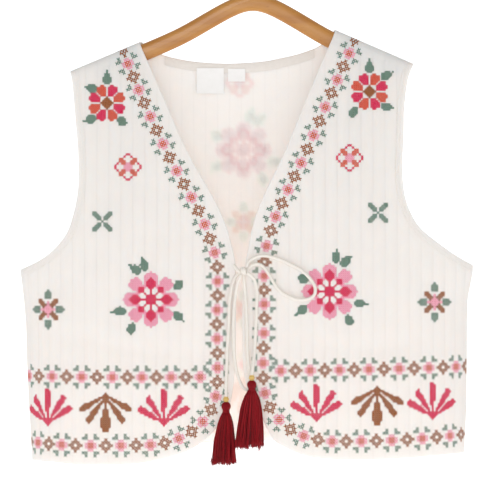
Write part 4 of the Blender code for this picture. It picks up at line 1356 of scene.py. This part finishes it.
def addRope(name, route, radius, sides=24):
    # a knitted cord: a tube whose faintly ribbed section turns along it
    along = lengthsAlong(route)
    axes = frames(route)
    turns = np.linspace(0, math.tau, sides, endpoint=False)
    lobes = turns[None, :] - math.tau * along[:, None] / tie["twist"]
    reach = radius * (0.975 + 0.025 * np.cos(6 * lobes))
    points = (route[:, None] + reach[..., None] * (np.cos(turns)[None, :, None] * axes[:, None, 0]
                                                   + np.sin(turns)[None, :, None] * axes[:, None, 1]))
    uvs = np.stack([np.broadcast_to(turns / math.tau * 0.012, reach.shape),
                    np.broadcast_to(along[:, None], reach.shape)], -1)
    faces = [list(range(sides))[::-1], list(range((len(route) - 1) * sides, len(route) * sides))]
    for k in range(len(route) - 1):
        for i in range(sides):
            j = (i + 1) % sides
            faces.append([k * sides + i, k * sides + j, (k + 1) * sides + j, (k + 1) * sides + i])
    made = addPiece(name, points.reshape(-1, 3), faces, [cordFinish], uvs.reshape(-1, 2), "along")
    return made


knot, wind = tie["knot"], tie["wound"]
middle = frontFace(knot["x"], knot["z"], knot["halfY"] + cut["seamGap"])
stub = frontFace(tie["stub"]["x"], tie["stub"]["z"], tie["onCloth"])
turns = np.linspace(*wind["turns"], 90) * math.tau
wound = np.column_stack([middle[0] + np.interp(turns, (turns[0], turns[-1]), wind["x"]),
                         middle[1] + (knot["halfY"] - wind["lessY"]) * np.cos(turns),
                         middle[2] + (knot["halfZ"] - wind["lessZ"]) * np.sin(turns)])
lead = np.linspace(stub, wound[0], 12)[:-1]
knotLine = smoothLine(np.vstack([lead[::3], wound[4::4]]), wind["step"])
knotPiece = addRope("knot_wound", knotLine, wind["radius"], 14)
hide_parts("bow_knot")


# Beads and tassels at the ends of the tails
bead = {
    "radius": 0.0036,
    "high": 0.0056,
    "hole": 0.0017,
    "rim": {"wider": 0.0005, "thick": 0.00042, "at": 0.47},
    "flute": {"wall": 0.00016, "deep": 0.00034},
}
tassel = {
    "left": {"footX": -0.0337, "footZ": -0.6238, "footHalf": 0.0138, "footOff": 0.0085},
    "right": {"footX": -0.0037, "footZ": -0.6058, "footHalf": 0.0168, "footOff": 0.0095},
    "headRadius": 0.0052,
    "neckRadius": 0.0036,
    "neckDrop": 0.0056,
    "down": (0.00, 0.06, 0.14, 0.33, 0.53, 0.72, 1.00),
    "wide": (0.22, 0.34, 0.50, 0.70, 0.81, 0.87, 1.00),
    "deep": (0.20, 0.27, 0.34, 0.42, 0.47, 0.50, 0.54),
    "strands": 300,
    "locks": 19,
    "headStrands": 44,
    "strandRadius": 0.00042,
    "binding": {"turns": 4, "top": 0.0016, "pitch": 0.0009, "radius": 0.00055},
    "headCore": 0.93,        # of the head's radius
    "headDrawn": 0.97,
    "headFrom": 0.96,
    "stray": {"bow": 0.0005, "tip": 0.0007, "lock": 0.0006, "curl": 0.0003},
}
goldFinish = makeGold()
tasselFinish = makeTasselFinish()


def roundOff(made):
    smooth = made.modifiers.new("round", "SUBSURF")
    smooth.levels = 2
    smooth.render_levels = 2
    bpy.ops.object.modifier_apply(modifier="round")


def makeBead(side, centre):
    # a fluted bead: a ball with flattened ends, every face of its waist pressed in
    bpy.ops.object.select_all(action="DESELECT")
    bpy.ops.mesh.primitive_uv_sphere_add(segments=16, ring_count=8, radius=bead["radius"], location=centre)
    made = bpy.context.object
    made.name = f"bead_{side}_gold"
    bpy.ops.object.mode_set(mode="EDIT")
    bpy.ops.mesh.select_all(action="SELECT")
    bpy.ops.transform.resize(value=(1, 1, bead["high"] / 2 / bead["radius"]), center_override=centre)
    bpy.ops.mesh.select_all(action="DESELECT")
    shape = bmesh.from_edit_mesh(made.data)
    for f in shape.faces:
        f.select = abs(f.normal.z) < 0.75
    bmesh.update_edit_mesh(made.data)
    bpy.ops.mesh.inset(thickness=bead["flute"]["wall"], depth=0, use_individual=True)
    bpy.ops.transform.shrink_fatten(value=-bead["flute"]["deep"])
    bpy.ops.object.mode_set(mode="OBJECT")
    roundOff(made)
    rims = []
    for way in (-1, 1):
        bpy.ops.object.select_all(action="DESELECT")
        place = (centre[0], centre[1], centre[2] + way * bead["high"] * bead["rim"]["at"])
        bpy.ops.mesh.primitive_torus_add(
            major_radius=bead["hole"] + bead["rim"]["wider"], minor_radius=bead["rim"]["thick"],
            major_segments=32, minor_segments=10, location=place)
        rims.append(bpy.context.object)
    for rim in rims:
        rim.select_set(True)
    made.select_set(True)
    bpy.context.view_layer.objects.active = made
    bpy.ops.object.join()
    bpy.ops.object.transform_apply(location=True, rotation=True, scale=True)
    bpy.ops.object.shade_smooth()
    made.data.materials.clear()
    made.data.materials.append(goldFinish)
    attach(made, body)
    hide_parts(f"bead_{side}")
    return made


def tubeArray(paths, radii, sides=4):
    # many thin tubes as one mesh; paths are (tubes, points, 3)
    tubes, count = paths.shape[:2]
    tangent = np.gradient(paths, axis=1)
    tangent /= np.linalg.norm(tangent, axis=2, keepdims=True) + 1e-12
    first = np.cross(tangent, (0.0, 1.0, 0.001))
    first /= np.linalg.norm(first, axis=2, keepdims=True) + 1e-12
    second = np.cross(tangent, first)
    turns = np.linspace(0, math.tau, sides, endpoint=False)
    rings = (paths[:, :, None] + radii[None, :, None, None]
             * (np.cos(turns)[None, None, :, None] * first[:, :, None]
                + np.sin(turns)[None, None, :, None] * second[:, :, None]))
    faces = []
    for t in range(tubes):
        base = t * count * sides
        faces.append([base + i for i in range(sides)][::-1])
        faces.append([base + (count - 1) * sides + i for i in range(sides)])
        for k in range(count - 1):
            for i in range(sides):
                j = (i + 1) % sides
                faces.append([base + k * sides + i, base + k * sides + j,
                              base + (k + 1) * sides + j, base + (k + 1) * sides + i])
    return rings.reshape(-1, 3), faces


def joinParts(parts):
    points, faces, base = [], [], 0
    for places, corners in parts:
        points.append(places)
        faces += [[c + base for c in f] for f in corners]
        base += len(places)
    return np.vstack(points), faces


def turnedBody(rings):
    # a closed solid through rings of points
    sides = len(rings[0])
    faces = [list(range(sides))[::-1], list(range((len(rings) - 1) * sides, len(rings) * sides))]
    for k in range(len(rings) - 1):
        for i in range(sides):
            j = (i + 1) % sides
            faces.append([k * sides + i, k * sides + j, (k + 1) * sides + j, (k + 1) * sides + i])
    return np.vstack(rings), faces


def makeTassel(side, head, seed):
    size = tassel[side]
    random = np.random.default_rng(seed)
    foot = frontFace(size["footX"], size["footZ"], size["footOff"])
    foot[2] = size["footZ"]
    neck = head - np.array([0, 0, tassel["neckDrop"]])

    # core of the head, and threads drawn over it from the bead to the neck
    turns = np.linspace(0, math.tau, 24, endpoint=False)
    circle = np.column_stack([np.cos(turns), np.sin(turns), 0 * turns])
    lean = np.radians(np.linspace(-52, 76, 12))
    inner = tassel["headRadius"] * tassel["headCore"]
    core = [head + inner * (circle * math.cos(a) + np.array([0, 0, math.sin(a)])) for a in lean]
    parts = [turnedBody(core)]
    arcs = np.radians(np.linspace(78, -50, 12))
    angles = np.linspace(0, math.tau, tassel["headStrands"], endpoint=False)
    over = tassel["headRadius"] * tassel["headDrawn"]
    paths = np.array([[(math.cos(t) * math.cos(a), math.sin(t) * math.cos(a), math.sin(a)) for a in arcs]
                      for t in angles])
    parts.append(tubeArray(head + over * paths, np.full(len(arcs), tassel["strandRadius"])))

    # the neck is bound with a few turns
    binding = tassel["binding"]
    for k in range(binding["turns"]):
        centre = neck + np.array([0, 0, binding["top"] - binding["pitch"] * k])
        bound = np.array([centre + tassel["neckRadius"] * np.array([math.cos(t), math.sin(t), 0])
                          for t in np.linspace(0, math.tau, 33)])
        parts.append(tubeArray(bound[None], np.full(33, binding["radius"]), 6))

    # skirt: threads from the neck to the foot, each with its own place, bow and length
    count = tassel["strands"]
    lock = random.integers(0, tassel["locks"], count)
    turn = (lock + random.normal(0, 0.21, count)) * math.tau / tassel["locks"]
    reach = np.sqrt(random.uniform(0.02, 1.0, count))
    reach[: count * 2 // 3] = random.uniform(0.86, 1.0, count * 2 // 3)
    reach *= random.uniform(0.90, 1.04, tassel["locks"])[lock]
    length = random.uniform(0.93, 1.0, tassel["locks"])[lock] - random.uniform(0, 0.05, count)
    length = length + 0.03 * (random.random(count) > 0.95)
    share = np.linspace(0, 1, 10)
    down = share[None, :] * length[:, None]
    wide = np.interp(down, tassel["down"], tassel["wide"]) * size["footHalf"]
    deep = np.interp(down, tassel["down"], tassel["deep"]) * size["footHalf"]
    middle = neck + (foot - neck) * down[..., None]
    stray = tassel["stray"]
    bow = random.normal(0, stray["bow"], (count, 2))[:, None, :] * np.sin(math.pi * share)[None, :, None]
    tip = random.normal(0, stray["tip"], (count, 2))[:, None, :] * share[None, :, None] ** 3
    sway = random.normal(0, stray["lock"], (tassel["locks"], 2))[lock][:, None, :] * share[None, :, None]
    bow = bow + tip + sway
    curl = stray["curl"] * np.sin(share[None, :] * random.uniform(6, 14, count)[:, None] + turn[:, None])
    paths = middle + np.stack([reach[:, None] * wide * np.cos(turn)[:, None] + bow[..., 0] + curl,
                               reach[:, None] * deep * np.sin(turn)[:, None] + bow[..., 1], 0 * down], -1)
    radii = tassel["strandRadius"] * np.interp(share, (0, 0.2, 1), (0.9, 1.0, 0.85))
    parts.append(tubeArray(paths, radii, 5))
    filler = [neck + (foot - neck) * s + 0.70 * np.column_stack([
        np.cos(turns) * np.interp(s, tassel["down"], tassel["wide"]) * size["footHalf"],
        np.sin(turns) * np.interp(s, tassel["down"], tassel["deep"]) * size["footHalf"], 0 * turns])
        for s in np.linspace(0.01, 0.90, 14)]
    parts.append(turnedBody([ring[::-1] for ring in filler]))

    points, faces = joinParts(parts)
    made = addPiece(f"tassel_{side}_threads", points, faces, [tasselFinish])
    shades = np.full(len(points), 0.5, np.float32)
    first = len(points) - len(parts[-1][0]) - len(parts[-2][0])
    shades[first:first + len(parts[-2][0])] = np.repeat(random.random(count), len(share) * 5)
    # the filler inside the skirt gets the darkest silk, as painted shade deep among the threads
    shades[first + len(parts[-2][0]):] = 0.0
    made.data.attributes.new("thread", "FLOAT", "POINT").data.foreach_set("value", shades)
    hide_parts(f"tassel_{side}")
    return made


for side, seed in (("left", 3), ("right", 8)):
    route = tieLine(f"tail_{side}")
    top = route[-1] - np.array([0, 0, 2 * cut["seamGap"]])
    centre = top - np.array([0, 0, bead["high"] / 2])
    below = bead["high"] + cut["seamGap"] + tassel["headRadius"] * tassel["headFrom"]
    head = top - np.array([0, 0, below])
    goldBead = makeBead(side, tuple(centre))
    silk = makeTassel(side, head, seed)
    through = np.linspace(route[-1], head, 14)[1:]       # the cord runs on through the bead into the head
    line = np.vstack([route, through])
    cord = addRope(f"cord_tail_{side}", line, tie["radius"])
    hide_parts(f"tail_{side}")
for name in ("loop_right", "loop_hanging"):
    line = tieLine(name)
    cord = addRope(f"cord_{name}", line, tie["radius"])
    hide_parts(name)
print("tie, beads and tassels made")


# Hanger: an arched bar of beech, and a wire hook
hanger = {
    "half": 0.182,
    "thick": 0.0126,
    "high": 0.0200,
    "clear": 0.0005,
    "straightFrom": 0.088,
    "archX": (0.0, 0.012, 0.030, 0.060),
    "archZ": (-0.0862, -0.0878, -0.0952, -0.1125),
    "stations": (0.012, 0.024, 0.040, 0.060, 0.080, 0.100, 0.140, 0.166, 0.1745, 0.1790, 0.1812, 0.1820),
    "sizes": (1, 1, 1, 1, 1, 1, 1, 1, 0.93, 0.74, 0.46, 0.16),
}
hook = {
    "wire": 0.0018,
    "bow": 0.0185,
    "start": -42,
    "sweep": 222,
    "stemTop": -0.066,
    "bend": {"x": 0.0053, "below": 0.0085},
    "tip": ((0.0006, 0.93), (0.0006, 0.78), (0.0004, 0.6)),     # step and size of each end section
}


def armMiddle(x):
    side = "left" if x < 0 else "right"
    slope = shoulders["slope"][side]
    lean = math.sqrt(1 + slope ** 2)
    straightX = np.array([hanger["straightFrom"], hanger["straightFrom"] + 0.020, hanger["half"]])
    straightZ = shoulders["top"] - slope * straightX - (hanger["clear"] + hanger["high"] / 2) * lean
    allX = np.concatenate([hanger["archX"], straightX])
    allZ = np.concatenate([hanger["archZ"], straightZ])
    if abs(x) >= hanger["straightFrom"]:
        return float(np.interp(abs(x), allX, allZ))
    curve = smoothLine(np.column_stack([allX, allZ])[:-1], 0.002)
    return float(np.interp(abs(x), curve[:, 0], curve[:, 1]))


def selectPoints(made, test):
    bpy.ops.mesh.select_all(action="DESELECT")
    shape = bmesh.from_edit_mesh(made.data)
    for v in shape.verts:
        v.select = test(v.co)
    shape.select_flush(True)
    bmesh.update_edit_mesh(made.data)


def onMiddle(place):
    return abs(place.x) < 1e-6


def makeHanger():
    # each arm is drawn out of the middle section, station by station
    bpy.ops.object.select_all(action="DESELECT")
    centre = (0, 0, armMiddle(0))
    bpy.ops.mesh.primitive_circle_add(vertices=20, radius=hanger["thick"] / 2, fill_type="NGON",
                                      location=centre, rotation=(0, math.pi / 2, 0))
    made = bpy.context.object
    made.name = "hanger_beech"
    bpy.ops.object.transform_apply(location=True, rotation=True, scale=True)
    bpy.ops.object.mode_set(mode="EDIT")
    for way in (-1, 1):
        selectPoints(made, lambda place: onMiddle(place) and (place.z - centre[2]) * way > 1e-6)
        bpy.ops.transform.translate(value=(0, 0, way * (hanger["high"] - hanger["thick"]) / 2))
    for way in (-1, 1):
        selectPoints(made, onMiddle)
        place = np.array(centre)
        lean = 0.0
        size = 1.0
        for x, share in zip(hanger["stations"], hanger["sizes"]):
            there = np.array((way * x, 0, armMiddle(way * x)))
            slope = (armMiddle(way * x + 1e-4) - armMiddle(way * x - 1e-4)) / 2e-4
            bpy.ops.mesh.extrude_region_move(TRANSFORM_OT_translate={"value": tuple(there - place)})
            turn = -math.atan(slope) - lean
            bpy.ops.transform.rotate(value=-turn, orient_axis="Y", center_override=tuple(there))
            bpy.ops.transform.resize(value=(share / size,) * 3, center_override=tuple(there))
            place, size = there, share
            lean += turn
    bpy.ops.mesh.select_all(action="SELECT")
    bpy.ops.mesh.normals_make_consistent(inside=False)
    bpy.ops.object.mode_set(mode="OBJECT")
    shape = bmesh.new()
    shape.from_mesh(made.data)
    buried = [f for f in shape.faces if all(onMiddle(v.co) for v in f.verts)]
    bmesh.ops.delete(shape, geom=buried, context="FACES_ONLY")
    bmesh.ops.recalc_face_normals(shape, faces=shape.faces)
    shape.to_mesh(made.data)
    shape.free()
    roundOff(made)
    bpy.ops.object.shade_smooth()
    made.data.materials.append(makeWood())
    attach(made, body)
    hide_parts("hanger_wood")
    return made


def makeHook():
    # a wire drawn up from the wood, bent out, and spun round the bow
    radius = hook["bow"] + hook["wire"]
    start = math.radians(hook["start"])

    def onBow(angle):
        return (radius * math.cos(angle), 0, radius * math.sin(angle) - hook["bow"])

    low = onBow(start)
    woodTop = armMiddle(0) + hanger["high"] / 2 + cut["seamGap"]
    bend = smoothLine([(0, 0, woodTop), (0, 0, hook["stemTop"]),
                       (hook["bend"]["x"], 0, low[2] - hook["bend"]["below"]), low,
                       onBow(start + 0.25)], 0.0015)
    bend = np.array([p for p in bend if p[2] < low[2] - 0.0008])
    bpy.ops.object.select_all(action="DESELECT")
    bpy.ops.mesh.primitive_circle_add(vertices=16, radius=hook["wire"], fill_type="NGON",
                                      location=tuple(bend[0]))
    made = bpy.context.object
    made.name = "hook_wire"
    bpy.ops.object.transform_apply(location=True, rotation=True, scale=True)
    bpy.ops.object.mode_set(mode="EDIT")
    bpy.ops.mesh.select_all(action="SELECT")
    place, lean = bend[0], 0.0
    steps = [*bend[1:], np.array(low)]
    beyond = steps[-1] + np.array([-math.sin(start), 0, math.cos(start)])
    for there, ahead in zip(steps, [*steps[1:], beyond]):
        way = ahead - place
        bpy.ops.mesh.extrude_region_move(TRANSFORM_OT_translate={"value": tuple(there - place)})
        turn = math.atan2(way[0], way[2]) - lean
        bpy.ops.transform.rotate(value=-turn, orient_axis="Y", center_override=tuple(there))
        place = there
        lean += turn
    bpy.ops.mesh.spin(steps=56, angle=math.radians(hook["sweep"]), center=(0, 0, -hook["bow"]),
                      axis=(0, -1, 0))
    end = start + math.radians(hook["sweep"])
    tip = np.array(onBow(end))
    onward = np.array((-math.sin(end), 0, math.cos(end)))
    for reach, size in hook["tip"]:
        tip = tip + onward * reach
        bpy.ops.mesh.extrude_region_move(TRANSFORM_OT_translate={"value": tuple(onward * reach)})
        bpy.ops.transform.resize(value=(size,) * 3, center_override=tuple(tip))
    bpy.ops.mesh.select_all(action="SELECT")
    bpy.ops.mesh.remove_doubles(threshold=0.00002)
    bpy.ops.mesh.normals_make_consistent(inside=False)
    bpy.ops.object.mode_set(mode="OBJECT")
    bpy.ops.object.shade_smooth_by_angle(angle=math.radians(50))
    made.data.materials.append(makeSteel())
    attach(made, body)
    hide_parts("hanger_hook")


wood = makeHanger()
makeHook()
print("hanger made")


for name, data in panels.items():
    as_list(data["withPieces"])
